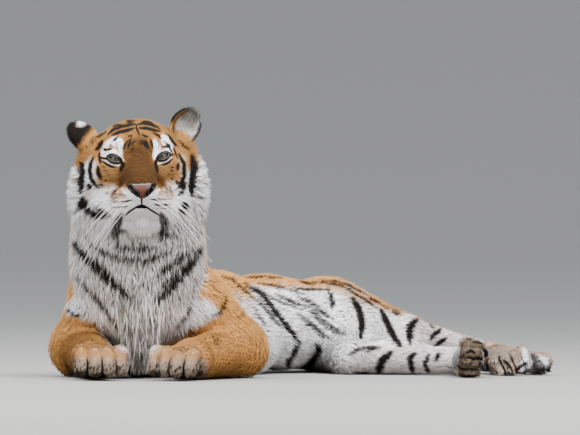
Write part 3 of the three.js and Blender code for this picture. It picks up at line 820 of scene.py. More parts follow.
# Pale and warm grounds of the front: how white, how deep a brown, softness, then the outline.
BREAST_GROUNDS = [
    # the white breast and throat, greyed a little by its brown: partly a grey-brown base to the hair, partly
    # painted shade
    (0.97, 0.25, 8, [(-522, 430), (-517, 340), (-517, 266), (-496, 236), (-465, 205), (-506, 170),
                     (-526, 153), (-506, 142),
                     (-464, 134), (-429, 110), (-402, 86), (-370, 57), (-367, 10), (-332, 10), (-319, 65),
                     (-298, 87), (-260, 102), (-230, 120), (-185, 141), (-161, 154), (-195, 160), (-220, 166),
                     (-213, 207), (-200, 262), (-200, 340), (-212, 430)]),
]
GROUNDS = [
    (1.0, 0.0, 9, [(-93, 222), (-60, 144), (-42, 80), (-34, -5), (700, -5), (700, 40), (399, 94), (377, 105),
                   (356, 120), (323, 130), (285, 150), (223, 165), (183, 179), (147, 186), (118, 207),
                   (69, 215), (15, 213), (-39, 219)]),
    (0.0, 0.25, 7, [(-557, 132), (-530, 138), (-500, 132), (-464, 117), (-429, 95), (-415, 78), (-464, 64),
                    (-505, 43), (-556, 39)]),
    (0.0, 0.2, 7, [(-312, 80), (-260, 92), (-230, 104), (-164, 134), (-71, 112), (-70, 43), (-229, 45)]),
    # white folds over the forearms, their brown pushed below zero so they stay pure white: painted light
    # against the shade there
    (1.0, -0.5, 9, [(-530, 163), (-510, 152), (-482, 146), (-444, 126), (-421, 103), (-397, 88), (-371, 64),
                    (-375, 100), (-415, 145), (-465, 185), (-505, 195)]),
    (1.0, -0.5, 9, [(-318, 84), (-256, 102), (-209, 122), (-177, 146), (-160, 157), (-195, 190), (-240, 170),
                    (-290, 125)]),
    # crown and temples
    (0.0, 0.78, 8, [(-445, 553), (-433, 574), (-410, 607), (-365, 618), (-320, 608), (-287, 593), (-250, 575),
                    (-215, 531), (-238, 509), (-256, 531), (-268, 551), (-289, 580), (-305, 583), (-324, 579),
                    (-329, 564), (-391, 562), (-394, 574), (-421, 570)]),
    (0.0, 0.62, 7, [(-520, 500), (-500, 560), (-457, 590), (-433, 580), (-448, 553), (-452, 529), (-457, 511),
                    (-466, 529), (-481, 511), (-485, 487)]),
    (0.0, 0.62, 7, [(-267, 576), (-250, 572), (-215, 541), (-215, 500), (-241, 489), (-247, 513), (-256, 531),
                    (-267, 548)]),
    # under the eyes, bridge of the nose and whisker pads
    (0.03, 0.75, 7, [(-447, 505), (-427, 498), (-399, 496), (-396, 487), (-408, 457), (-424, 460),
                    (-438, 479), (-445, 493)]),
    (0.03, 0.75, 7, [(-312, 498), (-289, 505), (-266, 519), (-262, 500), (-275, 470), (-289, 467),
                    (-302, 471)]),
    (0.0, 0.9, 8, [(-392, 548), (-395, 526), (-390, 511), (-399, 500), (-406, 480), (-409, 462), (-409, 444),
                   (-392, 439), (-388, 455), (-371, 461), (-350, 458), (-326, 462), (-312, 455), (-308, 444),
                   (-288, 446), (-296, 470), (-308, 485), (-316, 501), (-320, 514), (-321, 530), (-320, 545),
                   (-331, 562), (-349, 571), (-379, 564)]),
    (0.0, 1.0, 17, [(-376, 545), (-381, 525), (-383, 505), (-391, 485), (-396, 466), (-388, 452), (-349, 450),
                     (-318, 452), (-309, 467), (-314, 486), (-322, 506), (-330, 527), (-338, 547),
                     (-357, 556)]),
    (0.25, 0.75, 6, [(-425, 444), (-391, 452), (-378, 436), (-382, 420), (-419, 415)]),
    (0.35, 0.75, 6, [(-322, 439), (-310, 449), (-275, 442), (-274, 422), (-312, 422)]),
]
FOOT_GROUNDS = [
    (0.97, 0.45, 10, [(143, 60), (172, 76), (392, 90), (393, 0), (143, -5)]),
    (0.85, 0.4, 10, [(267, 165), (297, 165), (404, 111), (393, 77), (303, 80)]),
    (0.35, 1.0, 6, [(397, -8), (394, 60), (400, 92), (419, 112), (455, 110), (468, 86), (469, -8)]),
    (0.5, 0.7, 8, [(469, -8), (468, 95), (500, 95), (529, 92), (548, 80), (568, 60), (566, 42), (549, 23),
                     (526, -8)]),
    (1.0, 0.05, 4, [(536, -8), (548, 52), (551, 90), (606, 105), (700, 80), (700, -8)]),
    (0.08, 0.25, 8, [(-508, -8), (-508, 45), (-490, 63), (-445, 80), (-409, 80), (-378, 62), (-364, 38),
                    (-364, -8)]),
    (0.08, 0.25, 8, [(-335, -8), (-333, 47), (-311, 74), (-275, 88), (-230, 79), (-203, 57), (-196, -8)]),
    # the lower toes of the forepaws, greyed and browned near the floor as painted shade
    (0.5, 0.9, 16, [(-508, -8), (-510, 44), (-480, 40), (-440, 44), (-398, 40), (-362, 48), (-360, -8)]),
    (0.5, 0.9, 16, [(-337, -8), (-335, 44), (-302, 40), (-262, 44), (-222, 40), (-198, 40), (-196, -8)]),
]
WHITE_STROKES = [
    (5.3, (-439, 515), (-430, 508), (-418, 503), (-408, 502), (-401, 501)),
    (5.8, (-310, 507), (-300, 509), (-290, 514), (-280, 522)),
    (8, (-445, 524), (-434, 525), (-422, 530)),
    (9, (-415, 531), (-405, 526), (-394, 514)),
    (12, (-433, 530), (-415, 536), (-403, 527)),
    (24, (-420, 560), (-405, 555), (-402, 545)),
    (13, (-442, 530), (-432, 550), (-422, 562)),
    (9, (-403, 550), (-401, 539), (-397, 526)),
    (16, (-315, 526), (-313, 545), (-320, 560)),
    (22, (-300, 570), (-290, 556), (-282, 538)),
    (8, (-310, 534), (-295, 536), (-277, 535)),
    (9, (-318, 538), (-319, 528), (-320, 518)),
    (12, (-394, 446), (-384, 434), (-368, 426)),
    (12, (-308, 446), (-318, 434), (-332, 426)),
]

FACE_LINES = painted(FACE_STROKES, 1.3)
BODY_LINES = painted(CHEST_STROKES + FLANK_STROKES + TOE_STROKES)
MOUTH_LINES = painted(MOUTH_STROKES)
FAINT_LINES = painted(FAINT_STROKES, 1.1)
WHITE_LINES = painted(WHITE_STROKES)

# Bands that run round the parts that the front doesn't show: spacing and half width in mm.
TRUNK_WAY = np.array((math.cos(math.radians(66)), math.sin(math.radians(66)), 0))
BANDS = {"chest": (66, 7), "belly": (58, 9), "rump": (52, 9), "neck": (74, 8), "head": (30, 4),
         "right_leg_upper": (62, 9), "right_leg_lower": (52, 9), "left_leg_upper": (58, 9),
         "left_leg_lower": (50, 9), "tail": (64, 14)}


def bands(p, coat):
    """Wavy rings round trunk, legs and tail: nearness to the middle of a ring, less a width that comes and
    goes."""
    cover = np.zeros(len(p))
    for number, group in enumerate(FLESH):
        own = np.nonzero(coat.owner == number)[0]
        if group.name not in BANDS or not len(own):
            continue
        spacing, half = (v * MM for v in BANDS[group.name])
        q = p[own]
        if group.name == "head":
            along = np.linalg.norm(q - NOSE_TIP, axis=1)
        elif group.name in ("chest", "belly", "rump"):
            along = q @ TRUNK_WAY
        elif group.name == "tail":
            along = q @ unit(np.array((0.2, -1.0, 0))) + 0.4 * q[:, 0]
        else:
            along = q @ group.shapes[0].lie
        along = along + 0.2 * spacing * ripple(q, 0.25, 11) + 0.1 * spacing * ripple(q, 0.07, 12)
        gap = np.abs(along / spacing % 1 - 0.5) * spacing
        width = half * (0.75 + 0.55 * ripple(q, 0.09, 13)) * smooth(0.75, 0.35, ripple(q, 0.13, 14))
        cover[own] = smooth(1.5 * MM, -1.5 * MM, gap - width) * (width > 0.2 * half)
    return cover


PAWS = [group.shapes[-7::2] for group in FLESH if group.name.endswith("_paw")]


def toe_fold_shade(p):
    """Painted shade in the folds between toes: where the ends of the two nearest toes are equally near."""
    cover = np.zeros(len(p))
    for toes in PAWS:
        near = np.nonzero(toes[1].distance(p) < 70 * MM)[0]
        if len(near):
            d = np.sort(np.stack([toe.distance(p[near]) for toe in toes]), 0)
            fold = smooth(5 * MM, 1.5 * MM, d[1] - d[0]) * smooth(11 * MM, 5 * MM, d[0])
            fold = fold * smooth(62 * MM, 38 * MM, p[near, 2])
            cover[near] = np.maximum(cover[near], fold)
    return cover


def streaks(p, on_face, seed):
    """Unevenness drawn out along long hair: away from the nose on the head, and downwards elsewhere."""
    q = np.where(on_face[:, None], 0.16 * unit(p - NOSE_TIP), p * (1, 1, 0.2))
    return ripple(q, 0.011, seed)


def markings(p, normal, coat):
    """How black, how white and how deep a brown the coat is: strokes and grounds where the front shows it,
    and bands and a pale underside elsewhere. Some of it is painted shade: in the folds between the toes, low on
    the paws, and partly in the streaks of long white hair."""
    facing = (normal * unit(VIEWPOINT - p)).sum(1)
    front = smooth(-0.3, 0.02, facing) * in_sight(p)
    drawn = smooth(-0.08, 0.1, facing) * in_sight(p)
    square_on = smooth(-0.05, 0.3, facing) * in_sight(p)
    on_face = coat.head > 0.5
    uneven = ripple(p, 0.05, 3)
    white = smooth(-0.3, 0.3, (normal * coat.pale[:, :3]).sum(1) + coat.pale[:, 3] + 0.12 * uneven)
    q = head_place(p)
    cheek = smooth(88, 118, np.abs(q[:, 0])) * smooth(20, -20, q[:, 2])
    head_white = np.maximum(smooth(-48, -80, q[:, 2]), cheek) * smooth(150, 90, q[:, 1])
    white = np.where(on_face, head_white, white)
    brown = np.where(on_face, 0.55, 0.15 + 0.2 * smooth(0.2, 0.9, normal[:, 2])) + 0.08 * uneven
    xz = front_place(p)
    breast = front * smooth(-0.16, -0.24, p[:, 1])
    for grounds, shown in ((BREAST_GROUNDS, breast), (GROUNDS, front), (FOOT_GROUNDS, square_on)):
        for to_white, to_brown, softness, outline_mm in grounds:
            cover = shown * area_cover(xz + 3 * uneven[:, None], outline_mm, softness)
            white = white + cover * (to_white - white)
            brown = brown + cover * (to_brown - brown)
    white = np.maximum(white, front * stroke_cover(p, WHITE_LINES, 3))
    brown = (brown + 0.05 * ripple(p, 0.008, 45)) * (1 - 0.75 * white * on_face)
    # grey and cream streaks in long white hair: partly grey hairs, partly painted shade between clumps
    furry = white * smooth(7 * MM, 15 * MM, coat.depth)
    brown = brown + 0.5 * furry * smooth(-0.1, 0.8, streaks(p, on_face, 41))
    black = (0.25 + 0.15 * on_face) * furry * smooth(0.15, 0.8, streaks(p, on_face, 42))
    soft = 3.5 + 5 * smooth(12 * MM, 17 * MM, coat.depth)
    mixed = 1 - 0.45 * smooth(11 * MM, 16 * MM, coat.depth) * smooth(-0.2, 0.6, streaks(p, on_face, 44))
    black = np.maximum(black, 0.85 * drawn * stroke_cover(p, BODY_LINES, soft) * mixed)
    black = np.maximum(black, front * stroke_cover(p, FACE_LINES, 1.1))
    black = np.maximum(black, front * stroke_cover(p, MOUTH_LINES, 1.2))
    black = np.maximum(black, 0.9 * (1 - front) * bands(p, coat))
    black = np.maximum(black, 0.5 * front * stroke_cover(p, FAINT_LINES, 5.0))
    # painted shade in the folds between the toes
    black = np.maximum(black, 0.7 * toe_fold_shade(p))
    # painted shade: dark mottling low on the short-haired paws, near the floor
    paw = smooth(7 * MM, 5.5 * MM, coat.depth) * ~on_face * smooth(65 * MM, 25 * MM, p[:, 2])
    black = np.maximum(black, 0.55 * paw * smooth(-0.1, 0.8, ripple(p, 0.01, 43)))
    gap, _ = opening(p)
    black = np.maximum(black, smooth(6.0, 3.5, gap))
    return np.stack([1 - (1 - black) ** 2, white, brown], 1)


# ---- Skin ---------------------------------------------------------------------------------------


def wanted_edge(p):
    """Longest edge of the skin's triangles: fine on the face and the paws, finest round eyes, nose and
    mouth."""
    q = head_place(p)
    size = np.full(len(p), 14 * MM)
    size[np.linalg.norm(q - (0, 40, -50), axis=1) < 190] = 7 * MM
    face = (np.abs(q[:, 0]) < 95) & (q[:, 1] < 45) & (q[:, 2] > -170) & (q[:, 2] < 60)
    size[face] = 3.4 * MM
    muzzle = (np.abs(q[:, 0]) < 48) & (q[:, 1] < -50) & (q[:, 2] > -140) & (q[:, 2] < -55)
    size[muzzle] = 2.2 * MM
    for _, _, centre in EYE_SET:
        size[np.linalg.norm(p - centre, axis=1) < 30 * MM] = 1.8 * MM
    for toes in (LEFT_ARM[3], RIGHT_ARM[3], LEFT_LEG[3], RIGHT_LEG[3]):
        size[np.linalg.norm(p - toes, axis=1) < 95 * MM] = 5 * MM
    return size


def make_skin():
    """The skin's points and triangles, with the line of the mouth pressed in."""
    low, high = np.array(cad_box[0]) - 10 * MM, np.array(cad_box[1]) + 10 * MM
    points, triangles = surface_net(skin_distance, low, high, 9 * MM)
    points = settle(points, skin_distance, 4 * MM)
    for _ in range(3):
        points, triangles = refine(points, triangles, wanted_edge)
        points = settle(relax(points, triangles), skin_distance, 3 * MM)
    near = np.nonzero(np.linalg.norm(head_place(points) - (0, -80, -115), axis=1) < 90)[0]
    depth = np.zeros(len(points))
    depth[near] = 4.5 * MM * stroke_cover(points[near], MOUTH_LINES, 2.5)
    return points - depth[:, None] * normals_of(points, triangles), triangles


EAR_HALF = np.array((35, 24, 44))
EAR_WALL = np.array((4, 5, 4))
EARS = [("ear_left", 1, (96, 84, 26), (134, 96, 94), (0.15, -1, 0.1)),
        ("ear_right", -1, (-100, 92, 20), (-143, 106, 70), (-0.75, 0.6, 0.1))]
EAR_RIM = math.radians(106)


def ear_frame(base, tip, opening_way):
    """Middle of an ear, and its axes: across, out of the opening, and up to the tip."""
    up = unit(HEAD @ (np.array(tip, float) - base))
    out = HEAD @ np.array(opening_way, float)
    out = unit(out - (out @ up) * up)
    return in_head(*(np.array(base) + tip) / 2), np.stack([np.cross(out, up), out, up], 1)


def ball_faces(rings, columns):
    """Triangles of a closed grid of rings with a pole at either end, numbered ring by ring, poles last."""
    grid = np.arange(rings * columns).reshape(rings, columns)
    a, b = grid[:-1], grid[1:]
    c, d = np.roll(b, -1, 1), np.roll(a, -1, 1)
    first, last = rings * columns, rings * columns + 1
    ends = [np.stack([np.full(columns, first), grid[0], np.roll(grid[0], -1)], 1),
            np.stack([np.full(columns, last), np.roll(grid[-1], -1), grid[-1]], 1)]
    halves = [np.stack([a, b, c], 2).reshape(-1, 3), np.stack([a, c, d], 2).reshape(-1, 3)]
    return np.concatenate(halves + ends)


def outward(points, triangles):
    """The triangles, turned round if the volume that they enclose comes out negative."""
    a, b, c = (points[triangles[:, i]] for i in range(3))
    volume = (a * np.cross(b, c)).sum()
    return triangles if volume > 0 else triangles[:, ::-1]


def ear_surface(base, tip, opening_way, rows=26, columns=48):
    """A cup with a thin wall: an ellipsoid from its back pole to the rim, and a smaller one back from it.
    Gives its points, triangles, and each point's place across, out and up, from -1 to 1."""
    middle, axes = ear_frame(base, tip, opening_way)
    polar = np.concatenate([np.linspace(0.04, EAR_RIM, rows), np.linspace(EAR_RIM, 0.04, rows)])
    inner = np.arange(2 * rows) >= rows
    around = np.linspace(0, 2 * np.pi, columns, endpoint=False)
    place = np.stack([np.sin(polar)[:, None] * np.cos(around), np.repeat(-np.cos(polar)[:, None], columns, 1),
                      np.sin(polar)[:, None] * np.sin(around)], 2).reshape(-1, 3)
    place = np.concatenate([place, [(0, -1, 0), (0, -1, 0)]])
    inner = np.concatenate([np.repeat(inner, columns), [False, True]])
    points = middle + (place * (EAR_HALF - inner[:, None] * EAR_WALL)) @ axes.T * MM
    return points, outward(points, ball_faces(2 * rows, columns)), place, inner


def ear_markings(side, place, inner):
    """Black backs with a white spot and an orange foot, pale hair inside, and a rim that is black but for
    the brown border on the side of the crown."""
    across, out, up = place.T
    crown = across * side
    rim = smooth(-math.cos(EAR_RIM) - 0.2, -math.cos(EAR_RIM) - 0.06, out)
    spot = smooth(1.15, 0.85, np.hypot((-crown - 0.35) / 0.55, (up - 0.58) / 0.17))
    back = smooth(-0.25, 0.0, up + 0.15 * crown) * (1 - spot)
    warm = smooth(0.15, 0.6, crown) * smooth(0.9, 0.5, up)
    black = np.where(inner, rim * (1 - warm), np.maximum(back, rim * (1 - warm)))
    white = np.where(inner, 0.95 - 0.95 * warm * smooth(-0.9, -0.2, out), spot)
    return np.stack([black, white, np.where(inner, 0.6, 0.3)], 1)


# ---- Coat ---------------------------------------------------------------------------------------

PATCH = 0.003  # of the unwrap, for each lock
LOCK_BUDGET = 236_000
PIECE_LOCKS = 33_000


def hair_length(depth, head=0.0):
    """Longer where the coat is deeper, a little shorter on the head."""
    return (4.5 - 1.5 * head) * MM + (1.45 - 0.2 * head) * depth


def hair_width(length, head=0.0):
    """Wider where the lock is longer, finer on the head."""
    return (0.8 - 0.25 * head) * MM + (0.055 - 0.01 * head) * length


def scatter(points, triangles, density):
    """Random places on triangles: how many on each follows its area and density; evenly spread within it."""
    corners = points[triangles]
    area = np.linalg.norm(np.cross(corners[:, 1] - corners[:, 0], corners[:, 2] - corners[:, 0]), axis=1) / 2
    steps = np.concatenate([[0], np.cumsum(area * density)]) + rng.random()
    which = np.repeat(np.arange(len(triangles)), np.diff(np.floor(steps)).astype(int))
    a, b = rng.random((2, len(which)))
    over = a + b > 1
    a, b = np.where(over, 1 - a, a), np.where(over, 1 - b, b)
    return which, np.stack([1 - a - b, a, b], 1)


Locks = namedtuple("Locks", "root normal lie length width height colour unwrap")


def locks_mesh(name, locks, rings=(0.45,), droop=0.0):
    """Locks of hair as closed spindles: a point at the root, three-sided rings along a bent line, and a tip.
    The line leaves the skin along its normal and bends over to the lie: height * (1 - (1 - s)^2) at s."""
    n, lie = locks.normal, locks.lie
    side = unit(np.cross(n, lie))
    count = len(n)
    fall = np.array((0, 0, -1.0)) * (locks.length * droop)[:, None]

    def spine(s):
        rise = locks.height * (1 - (1 - s) ** 2)
        return locks.root + lie * (locks.length * s)[:, None] + n * rise[:, None] + fall * s * s

    near, far = locks.colour[:, 0], locks.colour[:, 1]
    colours = [near]
    rows, shades, normals, patch = [locks.root - n * 1.0 * MM], [(0.0, 0.5)], [n], [(0.5, 0.0)]
    for s in rings:
        middle = spine(s)
        half = side * (locks.width / 2 * (1.15 - 0.4 * s))[:, None]
        rows += [middle + half, middle - half, middle + n * (locks.width * 0.35)[:, None]]
        shades += [(s, 0.0), (s, 1.0), (s, 0.5)]
        colours += 3 * [near + (far - near) * max(0, (s - 0.45) / 0.55)]
        normals += [n + side * 0.45, n - side * 0.45, n + lie * 0.1]
        patch += [(0.0, s), (1.0, s), (0.5, s)]
    rows.append(spine(1.0))
    colours.append(far)
    shades.append((1.0, 0.5))
    normals.append(n + lie * 0.3)
    patch.append((0.5, 1.0))
    per = len(rows)
    points = np.stack(rows, 1).reshape(-1, 3)
    points[:, 2] = np.maximum(points[:, 2], 0.4 * MM)
    last = per - 1
    faces = [(0, 3, 1), (0, 1, 2), (0, 2, 3)]
    for r in range(len(rings) - 1):
        left, right, ridge = 1 + 3 * r, 2 + 3 * r, 3 + 3 * r
        for a, b in ((left, ridge), (right, left), (ridge, right)):
            faces += [(a, b, b + 3), (a, b + 3, a + 3)]
    left, right, ridge = last - 3, last - 2, last - 1
    faces += [(last, left, ridge), (last, right, left), (last, ridge, right)]
    triangles = (np.array(faces)[None] + per * np.arange(count)[:, None, None]).reshape(-1, 3)
    shades = np.tile(np.array(shades), (count, 1))
    shade = np.stack([shades[:, 0], np.repeat(rng.random(count), per), shades[:, 1]], 1)
    piece = mesh_object(name, points, triangles, True,
                        {"markings": np.stack(colours, 1).reshape(-1, 3), "lock": shade})
    uv = locks.unwrap[:, None] + (np.array(patch) - 0.5) * PATCH
    layer = piece.data.uv_layers.new(name="OFBake")
    layer.data.foreach_set("uv", uv.reshape(-1, 2)[triangles.ravel()].astype(np.float32).ravel())
    normals = unit(np.stack(normals, 1).reshape(-1, 3)).astype(np.float32)
    piece.data.normals_split_custom_set_from_vertices(normals)
    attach(piece, "root")
    piece.data.materials.append(WINTER_COAT)
    return piece


def unwrap(p, coat, names):
    """Places on an unwrap of the skin: each part of the body is a strip, along it and round its own axis.
    The head is unrolled about the line from its middle to the nose."""
    uv = np.zeros((len(p), 2))
    groups = [number for number, group in enumerate(FLESH) if group.name in names]
    for column, number in enumerate(groups):
        own = coat.owner == number
        if not own.any():
            continue
        q = p[own]
        if FLESH[number].name == "head":
            middle = in_head(0, 50, -50)
            axis = unit(NOSE_TIP - middle)
        else:
            middle = q.mean(0)
            axis = unit(np.linalg.svd(q[::17] - middle, full_matrices=False)[2][0])
        across = unit(np.cross(axis, (0.3, 0.2, 1.0)))
        upward = np.cross(axis, across)
        q = q - middle
        around = np.arctan2(q @ across, q @ upward) / (2 * np.pi) + 0.5
        along = q @ axis
        if FLESH[number].name == "head":
            along = np.arccos(np.clip(along / np.linalg.norm(q, axis=1), -1, 1))
        along = (along - along.min()) / max(np.ptp(along), 1e-6)
        uv[own] = np.stack([(column + 0.02 + 0.96 * around) / len(groups), 0.01 + 0.98 * along], 1)
    return uv


def coat_in_batches(p):
    """The coat at many points, a batch at a time."""
    parts = [coat_at(p[i:i + 60000]) for i in range(0, len(p), 60000)]
    return Coat(*[np.concatenate(v) for v in zip(*parts)])


def markings_in_batches(p, n, coat):
    """The markings at many points, a batch at a time."""
    parts = [markings(p[i:i + 60000], n[i:i + 60000], Coat(*[v[i:i + 60000] for v in coat]))
             for i in range(0, len(p), 60000)]
    return np.concatenate(parts)


def on_nose(q):
    """Whether places in the head's frame are on the bare leather of the nose."""
    return (area_cover(q[:, [0, 2]], NOSE_OUTLINE, 0.5) > 0.5) & (q[:, 1] < -84)


def lock_colours(root, lie, normal, length, height, head, coat):
    """The markings half way along each lock and near its tip. At the edge of a stripe, black comes and goes
    from lock to lock."""
    chance = rng.uniform(-0.5, 0.5, len(root)) * (0.6 - 0.4 * head)
    ends = []
    for s in (0.6 - 0.15 * head, 0.8 + 0.2 * head):
        seen = root + lie * (s * length)[:, None] + normal * (height * (1 - (1 - s) ** 2))[:, None]
        colour = markings_in_batches(seen, normal, coat)
        black = colour[:, 0]
        colour[:, 0] = smooth(0.1, 0.9, black + chance * 4 * black * (1 - black))
        ends.append(colour)
    return np.stack(ends, 1)


def grow_coat(points, triangles):
    """Locks over the whole skin, enough to cover it several times over, parted into pieces by region."""
    normal = normals_of(points, triangles)
    middle = points[triangles].mean(1)
    coat = coat_in_batches(middle)
    face_normal = unit(normal[triangles].mean(1))
    away = smooth(0.15, -0.3, (face_normal * unit(VIEWPOINT - middle)).sum(1))
    length = hair_length(coat.depth, coat.head)
    cover = 2.8 + 1.4 * coat.head + 1.2 * smooth(10 * MM, 18 * MM, coat.depth)
    density = cover * (1 - 0.4 * away) / (0.5 * length * hair_width(length, coat.head) * (1 + 0.5 * away))
    under = (middle[:, 2] < 9 * MM) & (face_normal[:, 2] < -0.5)
    gap, _ = opening(middle)
    density[under | (gap < 1.5) | on_nose(head_place(middle))] = 0
    area = np.linalg.norm(np.cross(points[triangles[:, 1]] - points[triangles[:, 0]],
                                   points[triangles[:, 2]] - points[triangles[:, 0]]), axis=1) / 2
    wanted = (area * density).sum()
    which, weights = scatter(points, triangles, density * min(1, LOCK_BUDGET / wanted))
    root = (points[triangles[which]] * weights[..., None]).sum(1)
    n = unit((normal[triangles[which]] * weights[..., None]).sum(1))
    away = away[which]
    coat = coat_in_batches(root)
    count = len(root)
    sway = np.stack([ripple(root, 0.06, 21 + a) + 0.8 * ripple(root, 0.022, 31 + a) for a in range(3)], 1)
    loose = smooth(8 * MM, 22 * MM, coat.depth)
    lie = coat.lie + (0.12 + 0.2 * loose)[:, None] * sway + rng.normal(0, 0.13, (count, 3))
    breast = np.isin(coat.owner, [i for i, g in enumerate(FLESH) if g.name in ("neck", "chest")])
    lie[:, 0] += np.where(breast & (n[:, 1] < 0.3), -(root[:, 0] - EYES[0]) / 0.26, 0)
    lie = unit(lie - (lie * n).sum(1, keepdims=True) * n)
    gap, _ = opening(root)
    lips = np.zeros(count)
    face = np.nonzero(coat.head > 0.5)[0]
    lips[face] = stroke_cover(root[face], MOUTH_LINES, 4)
    bare = 0.4 + 0.6 * smooth(0, 9, gap)
    length = hair_length(coat.depth, coat.head) * rng.uniform(0.75, 1.25, count) * bare * (1 - 0.6 * lips)
    width = hair_width(length, coat.head) * rng.uniform(0.8, 1.25, count) * (1 + 0.5 * away)
    height = coat.depth * rng.uniform(0.45, 1.2, count) * (bare - 0.2) / 0.8 * (1 - 0.7 * lips)
    colour = lock_colours(root, lie, n, length, height, coat.head, coat)
    locks = Locks(root, n, lie, length, width, height, colour, np.zeros((count, 2)))
    regions = {
        "coat_head": ["head"],
        "coat_neck_and_breast": ["neck", "chest"],
        "coat_trunk": ["belly", "rump", "tail"],
        "coat_forelegs": [g.name for g in FLESH if "arm" in g.name],
        "coat_hind_legs": [g.name for g in FLESH if "_leg_" in g.name],
    }
    for name, members in regions.items():
        own = np.nonzero(np.isin(coat.owner, [i for i, g in enumerate(FLESH) if g.name in members]))[0]
        uv = unwrap(root[own], Coat(*[v[own] for v in coat]), members)
        pieces = -(-len(own) // PIECE_LOCKS)
        for k in range(pieces):
            some = slice(k, None, pieces)
            title = name if pieces == 1 else f"{name}_{k + 1}"
            locks_mesh(title, Locks(*[v[own][some] for v in locks[:-1]], uv[some]))


def grow_ear_hair(name, side, points, triangles, place, inner):
    """Short hair on the back of an ear, lying up to its tip, and long pale hair out of the cup."""
    normal = normals_of(points, triangles)
    which, weights = scatter(points, triangles, np.full(len(triangles), 380_000.0))
    corner = triangles[which]
    root = (points[corner] * weights[..., None]).sum(1)
    n = unit((normal[corner] * weights[..., None]).sum(1))
    where = (place[corner] * weights[..., None]).sum(1)
    inside = inner[corner].mean(1) > 0.5
    _, axes = ear_frame(*next(entry for entry in EARS if entry[0] == name)[2:])
    across, out, up = axes.T
    count = len(root)
    lie = up + np.where(inside, 0.9, 0.0)[:, None] * out + rng.normal(0, 0.22, (count, 3))
    lie = lie - np.where(inside, 0.7 * where[:, 0], 0)[:, None] * across
    lie = unit(lie - 0.8 * (lie * n).sum(1, keepdims=True) * n)
    edge = smooth(-0.1, 0.25, where[:, 1])
    length = np.where(inside, 24 - 15 * edge, 10) * MM * rng.uniform(0.7, 1.2, count)
    height = np.where(inside, 7 - 5 * edge, 2.5) * MM * rng.uniform(0.3, 1, count)
    colour = ear_markings(side, where + 0.05 * rng.normal(size=(count, 3)), inside)
    colour[:, 0] = np.where(inside & (rng.random(count) < 0.4), np.maximum(colour[:, 0], 0.55), colour[:, 0])
    colour = np.repeat(colour[:, None], 2, 1)
    around = np.arctan2(where[:, 0], where[:, 2]) / (2 * np.pi) + 0.5
    uv = np.stack([0.01 + 0.98 * around, 0.01 + 0.48 * (where[:, 1] + 1) / 1.3 + 0.5 * inside], 1)
    width = 0.8 * hair_width(length, 1.0)
    locks_mesh("coat_" + name, Locks(root, n, lie, length, width, height, colour, uv))


def hang_breast_locks():
    """Long locks that hang from the breast between the forelegs, over one another, down to the floor."""
    count = 640
    front = np.stack([-350 + 62 * rng.uniform(-1, 1, count), rng.uniform(60, 205, count)], 1)
    front[:, 0] = -350 + (front[:, 0] + 350) * (0.35 + 0.65 * (front[:, 1] - 60) / 145)
    root, found = on_body(front)
    root, front = root[found], front[found]
    count = len(root)
    n = unit(np.stack([0.3 * rng.normal(size=count), -np.ones(count), 0.1 * rng.normal(size=count)], 1))
    inward = (-350 - front[:, 0]) / 300
    sideways = inward + 0.14 * rng.normal(size=count) + 0.2 * ripple(root, 0.05, 51)
    lie = np.stack([sideways, -0.1 + 0.05 * rng.normal(size=count), -np.ones(count)], 1)
    lie = unit(lie)
    length = np.minimum(rng.uniform(35, 80, count), front[:, 1] - 8) * MM
    colour = np.zeros((count, 2, 3))
    # a third of the locks dark grey: partly grey hair, partly painted shade in the gaps between the hanging
    # locks
    colour[:, :, 0] = 0.7 * (rng.random(count) < 0.33)[:, None]
    colour[:, :, 1] = 1.0
    colour[:, :, 2] = 0.2 + 0.8 * rng.random(count)[:, None]
    uv = 0.02 + 0.96 * (front - front.min(0)) / np.ptp(front, axis=0)
    height = 14 * MM * rng.uniform(0.2, 1, count)
    width = rng.uniform(2.4, 4.2, count) * MM
    locks_mesh("breast_locks", Locks(root, n, lie, length, width, height, colour, uv), rings=(0.25, 0.6))


# ---- Eyes, nose, whiskers and pads --------------------------------------------------------------


def piece_of(name, points, faces, finish, attributes=None):
    """A finished piece in one material, riding with the body."""
    piece = mesh_object(name, points, faces, True, attributes)
    piece.data.materials.append(finish)
    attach(piece, "root")
    return piece


def eyeball(name, centre, rings=72, columns=96):
    """A sphere whose front swells 1 mm as the cornea, turned to the viewpoint: radius R + swell(angle off
    the gaze)."""
    gaze = unit(VIEWPOINT - centre)
    across = unit(np.cross(gaze, (0, 0, 1.0)))
    upward = np.cross(across, gaze)
    polar = np.pi * (np.arange(1, rings + 1) / (rings + 1)) ** 1.3
    around = np.linspace(0, 2 * np.pi, columns, endpoint=False)
    t, a = (v.ravel() for v in np.meshgrid(polar, around, indexing="ij"))
    t, a = np.append(t, [0, np.pi]), np.append(a, [0, 0])
    radius = EYE_RADIUS - 0.6 * MM + 1.0 * MM * smooth(0.62, 0.0, t)
    way = (np.cos(t)[:, None] * gaze + np.sin(t)[:, None]
           * (np.cos(a)[:, None] * across + np.sin(a)[:, None] * upward))
    points = centre + radius[:, None] * way
    data = np.stack([t / (np.pi / 2), 0.5 + 0.5 * np.cos(a), 0.5 + 0.5 * np.sin(a)], 1)
    piece = piece_of(name + "ball", points, outward(points, ball_faces(rings, columns)), EYEBALL,
                     {"iris": data})
    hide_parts(name)


